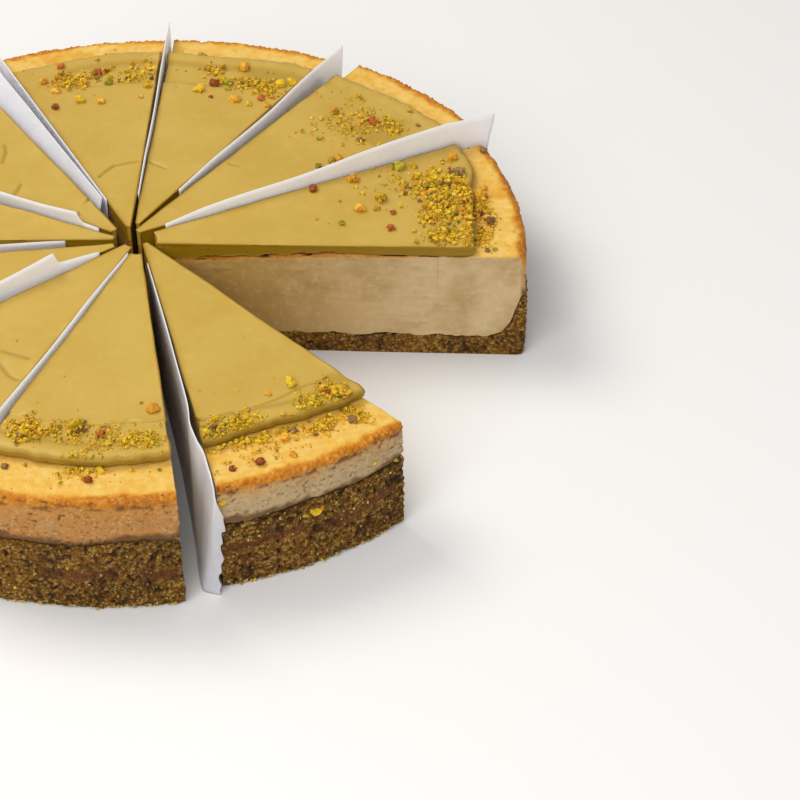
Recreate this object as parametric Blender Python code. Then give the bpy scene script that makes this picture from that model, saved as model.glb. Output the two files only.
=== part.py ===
"""Round baked cheesecake with a pistachio cream top, cut in slices with paper dividers.

Ten of twelve slices still stand in the round, and the sector of the other two is open. Each slice
is a crumb crust, a baked filling with a golden rim, and a poured topping with pistachio crumbs on
its outer edge. A strip of baking paper stands in each cut. The cake stands on z = 0, and the
origin is the middle of its bounding box at that height.
"""
import math
import random
from dataclasses import dataclass

import bmesh
import bpy
from mathutils import Matrix, Vector, noise

MM = 0.001

# Driving dimensions of the whole cake, in millimetres
CAKE_RADIUS = 128.0
CRUST_BASE = 7.5
CRUST_WALL = 5.0
WALL_SWING = 1.6
TOPPING_REACH = 112.0
TOPPING_THICK = 3.6
RIM_STAND = 1.0
CENTRE_DISH = 3.5
DISH_RADIUS = 60.0
LAYER_GAP = 0.3
PAPER_THICK = 0.5

# How finely the solids are cut up
CAKE_STEPS = 10
TOPPING_STEPS = 12
PAPER_STEPS = 8

# Crumbs that show from a step away: they lie thickest in a band inside the cream's edge
SEED = 41
TOPPING_CRUMBS = 9
RIM_CRUMBS = 4
CRUMB_MIN = 1.3
CRUMB_MAX = 2.4
CRUMB_ROOM = 1.4
CRUMB_SINK = 0.35
CRUMB_BAND = 30.0
CRUMB_TRIES = 400
CUT_MARGIN = 3.5

# Outer edge of the cream: a heading in degrees and the nominal radius there, once round the cake
CREAM_EDGE = (
    (-3, 109.0), (8, 110.0), (14.5, 112.5), (21, 116.5), (30, 117.0), (41, 115.5), (52, 113.0),
    (65, 114.5), (80, 111.5), (97, 114.0), (112, 112.0), (127, 114.0), (144, 111.0), (160, 113.5),
    (178, 112.0), (196, 114.0), (212, 111.5), (230, 112.5), (243, 110.5), (255, 109.5),
    (270, 111.0), (280, 109.8), (286, 108.5), (297, 106.2), (305, 108.2), (314, 110.0),
    (335, 110.0))

# Crumbs large enough to be told apart: distance from the cake's centre, heading and width
BIG_TOP_CRUMBS = {
    "slice_01": ((64.0, 24.6, 3.6), (78.5, 24.6, 4.6), (96.0, 25.0, 5.0), (83.5, 14.5, 4.8),
                 (75.5, 11.5, 4.0), (84.5, 3.0, 3.4), (105.5, 17.0, 3.4)),
    "slice_02": ((78.0, 34.5, 3.6), (95.0, 43.0, 3.0), (99.0, 49.5, 3.4), (104.0, 41.5, 4.8)),
    "slice_09": ((98.0, 265.5, 6.5), (90.5, 279.0, 4.0), (100.5, 270.0, 3.4)),
    "slice_10": ((92.5, 306.0, 4.4), (101.5, 288.8, 3.0), (100.5, 294.5, 3.0), (92.5, 301.0, 2.6)),
}
BIG_RIM_CRUMBS = {
    "slice_01": ((119.5, 13.5, 5.0), (117.5, 6.0, 4.6), (116.0, 1.0, 3.0)),
    "slice_09": ((118.0, 269.0, 3.2), (116.0, 256.5, 2.6)),
    "slice_10": ((113.5, 309.8, 3.0), (115.5, 293.7, 3.6), (115.5, 289.8, 2.8), (110.5, 300.0, 3.4)),
}

# Run of the folded paper along its cut
FOLD_START = 22.0
FOLD_LENGTH = 111.0

# Where the foot of an upright paper ends, inside the cake's edge
FOOT_END = 128.0


@dataclass
class Cut:
    """A knife cut: its heading in degrees, and how far left of the cake's centre it passes."""
    heading: float
    miss: float

    def along(self):
        """Unit vector from the centre outwards."""
        turn = math.radians(self.heading)
        return Vector((math.cos(turn), math.sin(turn)))

    def left(self):
        """Unit vector to the left of the cut."""
        along = self.along()
        return Vector((-along.y, along.x))

    def point(self, distance):
        """Point of the cut at a distance along it, in millimetres."""
        return self.left() * self.miss + self.along() * distance


@dataclass
class Slice:
    """One slice between two cuts."""
    name: str
    start: Cut
    end: Cut
    tip: float
    reach: tuple
    height: float
    wall: float
    rim_round: float = 2.0

    def apex(self):
        """Where the two cuts would meet."""
        a, b = self.start, self.end
        across = a.along().cross(b.along())
        run = (b.point(0) - a.point(0)).cross(b.along()) / across
        return a.point(run)

    def corner(self, cut, radius):
        """Where a cut reaches a distance from the cake's centre."""
        return cut.point(math.sqrt(radius ** 2 - cut.miss ** 2))

    def place(self, radius, share):
        """Plan point at a nominal radius, and a share of the way from the start to the end cut."""
        apex = self.apex()
        first = self.corner(self.start, self.reach[0]) - apex
        last = self.corner(self.end, self.reach[1]) - apex
        opening = math.atan2(first.cross(last), first.dot(last))
        turn = math.atan2(first.y, first.x) + opening * share
        length = first.length + (last.length - first.length) * share
        run = self.tip + (length - self.tip) * radius / CAKE_RADIUS
        return apex + Vector((math.cos(turn), math.sin(turn))) * run


# Slices in order, anticlockwise from the open sector, seen from above
SLICES = [
    Slice("slice_01", Cut(-2.0, -2.9), Cut(27.2, 0.0), 13.4, (129.3, 132.0), 41.0, 25.0, 4.0),
    Slice("slice_02", Cut(27.5, 1.8), Cut(56.2, 2.2), 4.5, (134.5, 135.0), 41.0, 24.0),
    Slice("slice_03", Cut(60.3, 3.0), Cut(88.6, 0.2), 3.0, (133.0, 132.0), 40.8, 26.0),
    Slice("slice_04", Cut(89.6, 1.4), Cut(117.8, -0.4), 3.0, (131.0, 131.0), 41.2, 23.0),
    Slice("slice_05", Cut(123.4, 2.2), Cut(150.8, 0.9), 5.0, (131.0, 130.0), 41.2, 26.0),
    Slice("slice_06", Cut(155.0, 1.9), Cut(181.0, 0.9), 4.0, (130.0, 129.0), 41.0, 24.0),
    Slice("slice_07", Cut(188.2, 2.3), Cut(216.5, 0.8), 4.0, (129.0, 129.0), 41.0, 25.0),
    Slice("slice_08", Cut(221.6, 1.6), Cut(249.4, 2.2), 6.0, (128.3, 128.0), 41.4, 24.0),
    Slice("slice_09", Cut(250.7, 3.6), Cut(280.0, 1.9), 7.0, (127.8, 127.9), 42.0, 24.0),
    Slice("slice_10", Cut(285.0, 2.8), Cut(313.2, 2.9), 3.0, (124.2, 126.5), 39.6, 26.0),
]


@dataclass
class Paper:
    """A strip of baking paper that stands in a cut, between two slices.

    before is the first slice's place in SLICES, and across the paper's share of the way from it to
    the next. heads are pairs of a distance along the cut and how far the paper stands above the
    cream there, and wave is how far it sways.
    """
    name: str
    before: int
    across: float
    heads: tuple
    wave: float


PAPERS = [
    Paper("paper_01_02", 0, 0.5, ((12, 0.6), (24, 2.2), (64, 5.0), (117, 8.8), (136, 7.2)), 0.1),
    Paper("paper_02_03", 1, 0.7, ((30, 0.3), (60, 1.0), (95, 2.2), (134, 3.5)), 0.2),
    Paper("paper_03_04", 2, 0.5, ((24, 0.4), (80, 1.4), (134, 3.0)), 0.1),
    Paper("paper_05_06", 4, 0.6, ((12, 0.2), (19, 1.0), (20, 4.4), (52, 2.8), (133, 4.5)), 0.3),
    Paper("paper_06_07", 5, 0.2, ((22, -0.8), (60, -0.6), (131, 2.0)), 0.4),
    Paper("paper_07_08", 6, 0.6, ((14, 0.3), (29, 2.8), (30.5, 7.4), (50, 5.6), (132, 6.5)), 0.4),
    Paper("paper_08_09", 7, 0.5, ((10, -0.4), (40, 0.2), (90, 1.4), (129, 2.0)), 0.1),
]

# The last slice's own paper: how far its head runs along the cut, stands aside from it and stands
# above the cream, and then how far its foot runs and stands aside
FRONT_BENDS = (
    (14, 1.0, 0.2, 14, 1.0), (40, 1.2, 1.2, 41, 1.8), (65, 1.4, 1.6, 67, 2.6),
    (88, 2.0, 1.8, 92, 4.0), (99, 3.2, 2.2, 107, 5.2), (105, 2.5, 1.6, 113, 6.0),
    (110, 1.1, 0.0, 118, 6.4), (116, 0.95, -1.2, 121.5, 6.5), (121.5, 1.0, -3.0, 123.5, 6.3),
    (124.9, 1.0, -6.5, 125.2, 4.6), (125.8, -1.7, -14.5, 127.0, 1.2))


def clear_scene():
    """Remove every object that the file starts with."""
    for item in list(bpy.data.objects):
        bpy.data.objects.remove(item, do_unlink=True)


def material(name, colour, roughness):
    """Plain finish with one colour."""
    made = bpy.data.materials.new(name)
    made.use_nodes = True
    shader = made.node_tree.nodes["Principled BSDF"]
    shader.inputs["Base Color"].default_value = (*colour, 1.0)
    shader.inputs["Roughness"].default_value = roughness
    shader.inputs["Metallic"].default_value = 0.0
    return made


def dish(radius, height):
    """Height of the filling's top under the cream: sunk a little towards the cake's middle."""
    share = min(radius / DISH_RADIUS, 1.0)
    return height - RIM_STAND - CENTRE_DISH * (1.0 - share)


def cream_top(cake_slice):
    """Height of the cream's top near its edge."""
    return cake_slice.height - RIM_STAND + TOPPING_THICK


def crust_profile(cake_slice):
    """Base with an upright outer wall, from the tip's foot round to the tip's top."""
    wall = cake_slice.wall
    inside = CAKE_RADIUS - CRUST_WALL
    return [
        (0.0, 0.0), (CAKE_RADIUS - 1.2, 0.0), (CAKE_RADIUS, 1.5), (CAKE_RADIUS, wall * 0.35),
        (CAKE_RADIUS, wall * 0.7), (CAKE_RADIUS - 0.2, wall - 0.6), (CAKE_RADIUS - 1.6, wall),
        (inside, wall * 0.55), (inside - 3.0, CRUST_BASE + 2.0), (inside - 8.0, CRUST_BASE),
        (0.0, CRUST_BASE)]


def filling_profile(cake_slice):
    """Body that fills the crust and stands above its wall, with a rounded baked rim."""
    wall = cake_slice.wall
    height = cake_slice.height
    bend = cake_slice.rim_round
    inside = CAKE_RADIUS - CRUST_WALL - LAYER_GAP
    floor = CRUST_BASE + LAYER_GAP
    side = CAKE_RADIUS - 0.6
    return [
        (0.0, floor), (inside - 8.0, floor), (inside - 3.0, floor + 2.0),
        (inside, wall * 0.55 + LAYER_GAP), (CAKE_RADIUS - 1.9, wall + LAYER_GAP + 0.1),
        (side, wall + 1.0), (side, (wall + height - bend) / 2.0), (side, height - bend),
        (side - bend * 0.35, height - bend * 0.2), (side - bend, height),
        (side - 9.0, height - 0.6), (TOPPING_REACH - 8.0, dish(CAKE_RADIUS, height)),
        (DISH_RADIUS, dish(DISH_RADIUS, height)), (0.0, dish(0.0, height))]


def topping_profile(cake_slice):
    """Poured cream, thicker over the dished middle, with a fat rounded edge."""
    height = cake_slice.height
    top = cream_top(cake_slice)
    edge = TOPPING_REACH
    under = LAYER_GAP
    return [
        (0.0, dish(0.0, height) + under), (DISH_RADIUS, dish(DISH_RADIUS, height) + under),
        (edge - 8.0, height - RIM_STAND + under), (edge - 2.2, height - 0.6 + under),
        (edge - 0.4, height + 0.3), (edge, height + 1.1), (edge - 0.8, top - 0.7),
        (edge - 3.0, top), (edge - 12.0, top + 0.2), (DISH_RADIUS, top - 0.2), (0.0, top - 0.6)]


def topping_wave(turn):
    """How far the cream's edge runs in or out at a heading, in millimetres."""
    first = CREAM_EDGE[0][0]
    heading = (math.degrees(turn) - first) % 360.0 + first
    knots = [*CREAM_EDGE, (first + 360.0, CREAM_EDGE[0][1])]
    for (before, low), (after, high) in zip(knots, knots[1:]):
        if heading <= after:
            share = (heading - before) / (after - before)
            eased = share * share * (3.0 - 2.0 * share)
            return low + (high - low) * eased - TOPPING_REACH
    return 0.0


def face_outwards(work):
    """Point every face of a closed mesh out of it."""
    bmesh.ops.recalc_face_normals(work, faces=work.faces)
    if work.calc_volume(signed=True) < 0.0:
        bmesh.ops.reverse_faces(work, faces=work.faces)


def wedge(cake_slice, profile, steps, relief):
    """Spin a profile from one cut to the other and fit it between the slice's cuts.

    The profile's points are a nominal radius and a height in millimetres. relief is a function of
    the slice, a nominal radius, a height and a plan point, and gives a new radius and height.
    """
    work = bmesh.new()
    corners = [work.verts.new((radius, 0.0, level)) for radius, level in profile]
    section = work.faces.new(corners)
    bmesh.ops.translate(work, verts=corners, vec=(CAKE_RADIUS, 0.0, 0.0))
    bmesh.ops.spin(work, geom=[section, *section.edges, *corners], cent=(0, 0, 0), axis=(0, 0, 1),
                   dvec=(0, 0, 0), angle=1.0, steps=steps, use_merge=False, use_duplicate=False)
    for vert in work.verts:
        share = math.atan2(vert.co.y, vert.co.x)
        radius = math.hypot(vert.co.x, vert.co.y) - CAKE_RADIUS
        plain = cake_slice.place(radius, share)
        radius, level = relief(cake_slice, radius, vert.co.z, plain)
        plan = cake_slice.place(radius, share)
        vert.co = Vector((plan.x, plan.y, level))
    face_outwards(work)
    return work


def wall_line(cake_slice, level, plan):
    """Raise and lower the line where the crust's wall meets the filling, alike for both."""
    low = cake_slice.wall * 0.5
    high = cake_slice.wall + 1.2
    if not low < level < high:
        return level
    turn = math.atan2(plan.y, plan.x)
    swing = math.sin(7.0 * turn) + 0.6 * math.sin(17.0 * turn + 1.0)
    return level + WALL_SWING * swing * (level - low) / (high - low)


def crust_relief(cake_slice, radius, level, plan):
    """Crumbly outer side, and an uneven wall top."""
    if radius > CAKE_RADIUS - 0.3 and level > 1.0:
        ripple = noise.noise(Vector((plan.x, plan.y, level)) * 0.21)
        radius += min(ripple, 0.4)
    return radius, wall_line(cake_slice, level, plan)


def filling_relief(cake_slice, radius, level, plan):
    """The crust's wall line from inside, and gentle hills on the baked rim."""
    if radius > TOPPING_REACH + 8.0 and level > cake_slice.height - cake_slice.rim_round - 0.1:
        level += 0.5 * noise.noise(Vector((plan.x, plan.y, 0.0)) * 0.06)
    return radius, wall_line(cake_slice, level, plan)


def cream_relief(cake_slice, radius, level, plan):
    """Wavy outer edge and shallow spatula waves for the cream."""
    share = min(max((radius - TOPPING_REACH + 20.0) / 14.0, 0.0), 1.0)
    if level > cream_top(cake_slice) - 0.75:
        level += 0.35 * noise.noise(Vector((plan.x, plan.y, 0.0)) * 0.045)
    return radius + topping_wave(math.atan2(plan.y, plan.x)) * share, level


def crumb(dice, place, size):
    """A few-sided crumb, squashed and turned at random, in millimetres."""
    work = bmesh.new()
    bmesh.ops.create_icosphere(work, subdivisions=1, radius=size)
    stretch = Vector((dice.uniform(0.85, 1.35), dice.uniform(0.8, 1.1), dice.uniform(0.7, 0.95)))
    bmesh.ops.scale(work, verts=work.verts, vec=stretch)
    spin = Matrix.Rotation(dice.uniform(0.0, math.tau), 3, "Z")
    bmesh.ops.rotate(work, verts=work.verts, matrix=spin)
    tilt = Matrix.Rotation(dice.uniform(-0.5, 0.5), 3, "X")
    bmesh.ops.rotate(work, verts=work.verts, matrix=tilt)
    bmesh.ops.translate(work, verts=work.verts, vec=place)
    return work


def big_places(rows, level):
    """Places and sizes of the crumbs that are told apart."""
    placed = []
    for radius, heading, width in rows:
        turn = math.radians(heading)
        spot = Vector((radius * math.cos(turn), radius * math.sin(turn), level))
        placed.append((spot, width * 0.5))
    return placed


def crumb_places(dice, cake_slice, count, near, far, big):
    """Seeded places for crumbs between two radii, clear of the cuts and of each other.

    near and far are functions of the heading that give the radii of the band, and big is the
    rows of the crumbs that have their own places, with the level that all lie at.
    """
    rows, level = big
    placed = big_places(rows, level)
    tries = 0
    opening = math.radians(cake_slice.end.heading - cake_slice.start.heading)
    while len(placed) < count and tries < CRUMB_TRIES:
        tries += 1
        size = dice.uniform(CRUMB_MIN, CRUMB_MAX)
        share = dice.random()
        inner = near(cake_slice, share)
        outer = far(cake_slice, share)
        room = size * CRUMB_ROOM
        radius = outer - room - abs(dice.gauss(0.0, 0.4)) * (outer - inner)
        if radius < inner:
            continue
        start_gap = share * opening * radius
        end_gap = (1.0 - share) * opening * radius
        if min(start_gap, end_gap) < CUT_MARGIN + room:
            continue
        plan = cake_slice.place(radius, share)
        spot = Vector((plan.x, plan.y, level))
        if any((spot - other).length < room + bulk * CRUMB_ROOM for other, bulk in placed):
            continue
        placed.append((spot, size))
    return placed


def cream_edge(cake_slice, share):
    """Nominal radius of the cream's outer edge at a share of the slice's width."""
    plan = cake_slice.place(TOPPING_REACH, share)
    return TOPPING_REACH + topping_wave(math.atan2(plan.y, plan.x))


def new_object(name, work, finish):
    """Turn a bmesh in millimetres into a named object in metres."""
    bmesh.ops.triangulate(work, faces=[face for face in work.faces if len(face.verts) > 3])
    bmesh.ops.scale(work, verts=work.verts, vec=(MM, MM, MM))
    mesh = bpy.data.meshes.new(name)
    work.to_mesh(mesh)
    work.free()
    made = bpy.data.objects.new(name, mesh)
    bpy.context.scene.collection.objects.link(made)
    made.data.materials.append(finish)
    return made


def fuse(carrier, pieces):
    """Join crumbs to what they lie on, with one union on a collection."""
    group = bpy.data.collections.new(carrier.name + "_crumbs")
    bpy.context.scene.collection.children.link(group)
    for piece in pieces:
        bpy.context.scene.collection.objects.unlink(piece)
        group.objects.link(piece)
    union = carrier.modifiers.new("crumbs", "BOOLEAN")
    union.operation = "UNION"
    union.operand_type = "COLLECTION"
    union.collection = group
    union.solver = "EXACT"
    graph = bpy.context.evaluated_depsgraph_get()
    joined = bpy.data.meshes.new_from_object(carrier.evaluated_get(graph))
    carrier.modifiers.clear()
    carrier.data = joined
    for piece in pieces:
        bpy.data.objects.remove(piece, do_unlink=True)
    bpy.data.collections.remove(group)


def scatter(carrier, dice, places, finish):
    """Make crumbs at their places and fuse them to their carrier."""
    pieces = []
    for number, (spot, size) in enumerate(places):
        sunk = spot - Vector((0.0, 0.0, size * CRUMB_SINK))
        pieces.append(new_object(f"{carrier.name}_crumb_{number}", crumb(dice, sunk, size), finish))
    fuse(carrier, pieces)


def build_slice(cake_slice, dice, finishes):
    """Crust, filling and topping of one slice."""
    base = wedge(cake_slice, crust_profile(cake_slice), CAKE_STEPS, crust_relief)
    crust = new_object(cake_slice.name + "_crust", base, finishes["crust"])

    body = wedge(cake_slice, filling_profile(cake_slice), CAKE_STEPS, filling_relief)
    filling = new_object(cake_slice.name + "_filling", body, finishes["filling"])
    rim_places = crumb_places(
        dice, cake_slice, RIM_CRUMBS, lambda part, share: cream_edge(part, share) + 4.0,
        lambda part, share: CAKE_RADIUS - part.rim_round - 1.0,
        (BIG_RIM_CRUMBS.get(cake_slice.name, ()), cake_slice.height - 0.2))
    scatter(filling, dice, rim_places, finishes["filling"])

    cream = wedge(cake_slice, topping_profile(cake_slice), TOPPING_STEPS, cream_relief)
    topping = new_object(cake_slice.name + "_topping", cream, finishes["topping"])
    top_places = crumb_places(
        dice, cake_slice, TOPPING_CRUMBS, lambda part, share: cream_edge(part, share) - CRUMB_BAND,
        lambda part, share: cream_edge(part, share) - 2.5,
        (BIG_TOP_CRUMBS.get(cake_slice.name, ()), cream_top(cake_slice) + CRUMB_SINK))
    scatter(topping, dice, top_places, finishes["topping"])
    return [crust, filling, topping]


def standing_strip(name, foot, head, finish):
    """Strip of paper from plan points at z = 0 up to the points of its head."""
    work = bmesh.new()
    feet = [work.verts.new((point.x, point.y, 0.0)) for point in foot]
    tops = [work.verts.new(point) for point in head]
    for place in range(len(feet) - 1):
        work.faces.new((feet[place], feet[place + 1], tops[place + 1], tops[place]))
    bmesh.ops.triangulate(work, faces=work.faces)
    thicken(work, feet, tops)
    return new_object(name, work, finish)


def thicken(work, feet, tops):
    """Give a standing sheet its thickness, level along its foot."""
    steps = {vert: side_step(row, place) for row in (feet, tops) for place, vert in enumerate(row)}
    sheet = list(work.faces)
    twins = bmesh.ops.duplicate(work, geom=[*sheet, *work.edges, *work.verts])
    match = twins["vert_map"]
    old_edges = [edge for edge in work.edges if edge.is_boundary and edge.link_faces[0] in sheet]
    new_verts = [item for item in twins["geom"] if isinstance(item, bmesh.types.BMVert)]
    new_faces = [item for item in twins["geom"] if isinstance(item, bmesh.types.BMFace)]
    for vert in new_verts:
        vert.co += steps[match[vert]] * PAPER_THICK
    bmesh.ops.reverse_faces(work, faces=new_faces)
    for edge in old_edges:
        a, b = edge.verts
        work.faces.new((a, b, match[b], match[a]))
    face_outwards(work)


def side_step(row, place):
    """Level unit vector across a row of vertices at one of them."""
    before = row[max(place - 1, 0)].co
    after = row[min(place + 1, len(row) - 1)].co
    run = Vector((after.x - before.x, after.y - before.y)).normalized()
    return Vector((-run.y, run.x, 0.0))


def between(pairs, run):
    """Value at a distance, read off pairs of a distance and a value."""
    for (before, low), (after, high) in zip(pairs, pairs[1:]):
        if run <= after:
            return low + (high - low) * (run - before) / (after - before)
    return pairs[-1][1]


def standing_point(paper, run):
    """Plan point of an upright paper at a distance along its cut, with its slight sway."""
    first = SLICES[paper.before].end
    last = SLICES[paper.before + 1].start
    across = last.point(run) - first.point(run)
    sway = paper.wave * math.sin(run * 0.08 + paper.heads[0][0])
    return first.point(run) + across * paper.across + last.left() * (sway - PAPER_THICK / 2.0)


def build_divider(paper, finish):
    """Paper that stands upright between two slices."""
    level = max(cream_top(SLICES[paper.before]), cream_top(SLICES[paper.before + 1]))
    inner, outer = paper.heads[0][0], paper.heads[-1][0]
    evenly = [inner + (outer - inner) * place / PAPER_STEPS for place in range(PAPER_STEPS + 1)]
    bends = [run for run, _ in paper.heads if min(abs(run - other) for other in evenly) > 0.5]
    foot = []
    head = []
    for run in sorted(evenly + bends):
        foot_run = inner + (run - inner) * (FOOT_END - inner) / (outer - inner)
        foot.append(standing_point(paper, foot_run))
        plan = standing_point(paper, run)
        rise = level + between(paper.heads, run) + 0.3 * math.sin(run * 0.11 + outer)
        head.append(Vector((plan.x, plan.y, rise)))
    return standing_strip(paper.name, foot, head, finish)


def build_front_divider(finish):
    """Paper between the two front slices, with its outer end bent towards the slice's corner."""
    cut = SLICES[9].start
    level = cream_top(SLICES[9])
    foot = []
    head = []
    for head_run, head_aside, lift, foot_run, foot_aside in FRONT_BENDS:
        foot.append(cut.point(foot_run) - cut.left() * foot_aside)
        plan = cut.point(head_run) - cut.left() * head_aside
        head.append(Vector((plan.x, plan.y, level + lift)))
    return standing_strip("paper_09_10", foot, head, finish)


def build_folded_divider(finish):
    """Paper folded double in the widest cut: one leg by each slice, the second flopped over."""
    first = SLICES[3].end
    last = SLICES[4].start
    level = cream_top(SLICES[3])
    work = bmesh.new()
    rows = []
    for place in range(PAPER_STEPS + 1):
        share = place / PAPER_STEPS
        run = FOLD_START + FOLD_LENGTH * share
        right = first.point(run)
        left = last.point(run)
        across = (left - right).normalized()
        width = (left - right).length
        far = width - 1.3
        section = ((0.9, level + 0.4), (1.0, 9.0), (0.30 * width, 0.0), (far - 0.9, 0.0),
                   (far, 9.0), (far, level - 6.0), (0.34 * width + 0.6, level + 1.6 + share))
        rows.append([work.verts.new((*(right + across * step), high)) for step, high in section])
    for before, after in zip(rows, rows[1:]):
        for place in range(len(before) - 1):
            work.faces.new((before[place], before[place + 1], after[place + 1], after[place]))
    bmesh.ops.triangulate(work, faces=work.faces)
    bmesh.ops.recalc_face_normals(work, faces=work.faces)
    bmesh.ops.solidify(work, geom=work.faces, thickness=PAPER_THICK)
    lowest = min(vert.co.z for vert in work.verts)
    for vert in work.verts:
        if vert.co.z < lowest + PAPER_THICK * 0.5:
            vert.co.z = 0.0
    face_outwards(work)
    return new_object("paper_04_05", work, finish)


def centre_on_base(made):
    """Move every mesh so that the origin is the middle of the box's bottom."""
    bpy.context.view_layer.update()
    spots = [vert.co for item in made for vert in item.data.vertices]
    middle_x = (min(spot.x for spot in spots) + max(spot.x for spot in spots)) / 2.0
    middle_y = (min(spot.y for spot in spots) + max(spot.y for spot in spots)) / 2.0
    shift = Matrix.Translation((-middle_x, -middle_y, 0.0))
    for item in made:
        item.data.transform(shift)


def main():
    """Build the slices and their paper dividers."""
    clear_scene()
    dice = random.Random(SEED)
    finishes = {
        "crust": material("crumb crust", (0.28, 0.19, 0.07), 0.9),
        "filling": material("baked filling", (0.60, 0.45, 0.27), 0.6),
        "topping": material("pistachio cream", (0.56, 0.40, 0.09), 0.4),
        "paper": material("baking paper", (0.72, 0.70, 0.71), 0.7)}
    made = []
    for cake_slice in SLICES:
        made += build_slice(cake_slice, dice, finishes)
    made += [build_divider(paper, finishes["paper"]) for paper in PAPERS]
    made.append(build_folded_divider(finishes["paper"]))
    made.append(build_front_divider(finishes["paper"]))
    centre_on_base(made)


main()
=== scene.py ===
"""Looks of a round baked cheesecake with a pistachio cream top, cut in slices with paper dividers.

Each solid of the frame is replaced by a finer piece of the same form: crumb crusts, baked fillings,
poured tops and baking paper. Nut crumbs lie on them, one piece for each kind. Sizes are in
millimetres and places are measured from the cake's middle, until a mesh is finished in metres.
"""

import itertools
import logging
import math
import random
from dataclasses import dataclass, field
from enum import Enum
from typing import Optional, Sequence

import bmesh
import bpy
import numpy as np
from mathutils import Matrix, Vector
from mathutils.bvhtree import BVHTree


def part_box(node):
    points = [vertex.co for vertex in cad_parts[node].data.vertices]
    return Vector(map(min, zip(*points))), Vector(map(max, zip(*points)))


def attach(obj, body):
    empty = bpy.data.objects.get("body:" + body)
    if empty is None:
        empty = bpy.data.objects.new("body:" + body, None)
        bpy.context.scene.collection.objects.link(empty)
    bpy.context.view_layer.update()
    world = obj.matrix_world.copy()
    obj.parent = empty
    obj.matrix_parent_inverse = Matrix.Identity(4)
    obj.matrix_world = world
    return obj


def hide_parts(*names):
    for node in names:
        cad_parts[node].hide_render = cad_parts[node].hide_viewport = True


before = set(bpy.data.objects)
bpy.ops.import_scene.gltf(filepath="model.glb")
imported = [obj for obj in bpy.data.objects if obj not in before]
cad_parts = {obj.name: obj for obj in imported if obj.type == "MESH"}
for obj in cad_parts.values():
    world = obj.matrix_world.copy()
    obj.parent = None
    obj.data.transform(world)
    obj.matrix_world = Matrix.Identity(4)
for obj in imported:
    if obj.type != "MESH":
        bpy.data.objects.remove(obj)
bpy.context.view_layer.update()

MM = 0.001
SEED = 7

log = logging.getLogger("cheesecake")


# Driving sizes

@dataclass(frozen=True)
class Tin:
    """Driving sizes of the whole cake, as its solids have them, and the cake's middle."""
    radius: float = 128.0
    crust_base: float = 7.5
    crust_wall: float = 5.0
    wall_swing: float = 1.6
    cream_reach: float = 112.0
    cream_thick: float = 3.6
    rim_stand: float = 1.0
    centre_dish: float = 3.5
    dish_radius: float = 60.0
    layer_gap: float = 0.3
    middle: tuple[float, float] = (0.4235, -2.838)


TIN = Tin()

# Outer edge of the cream: a heading in degrees and the nominal radius there, once round the cake
CREAM_EDGE = (
    (-3, 109.0), (8, 110.0), (14.5, 112.5), (21, 116.5), (30, 117.0), (41, 115.5), (52, 113.0),
    (65, 114.5), (80, 111.5), (97, 114.0), (112, 112.0), (127, 114.0), (144, 111.0), (160, 113.5),
    (178, 112.0), (196, 114.0), (212, 111.5), (230, 112.5), (243, 110.5), (255, 109.5),
    (270, 111.0), (280, 109.8), (286, 108.5), (297, 106.2), (305, 108.2), (314, 110.0),
    (335, 110.0))


@dataclass(frozen=True)
class Cut:
    """A knife cut: its heading in degrees, and how far left of the cake's middle it passes."""
    heading: float
    miss: float

    def along(self) -> Vector:
        """Unit vector from the middle outwards."""
        turn = math.radians(self.heading)
        return Vector((math.cos(turn), math.sin(turn)))

    def left(self) -> Vector:
        """Unit vector to the left of the cut."""
        along = self.along()
        return Vector((-along.y, along.x))

    def point(self, distance: float) -> Vector:
        """Point of the cut at a distance along it."""
        return self.left() * self.miss + self.along() * distance

    def corner(self, radius: float) -> Vector:
        """Where the cut reaches a distance from the cake's middle."""
        return self.point(math.sqrt(radius ** 2 - self.miss ** 2))


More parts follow.
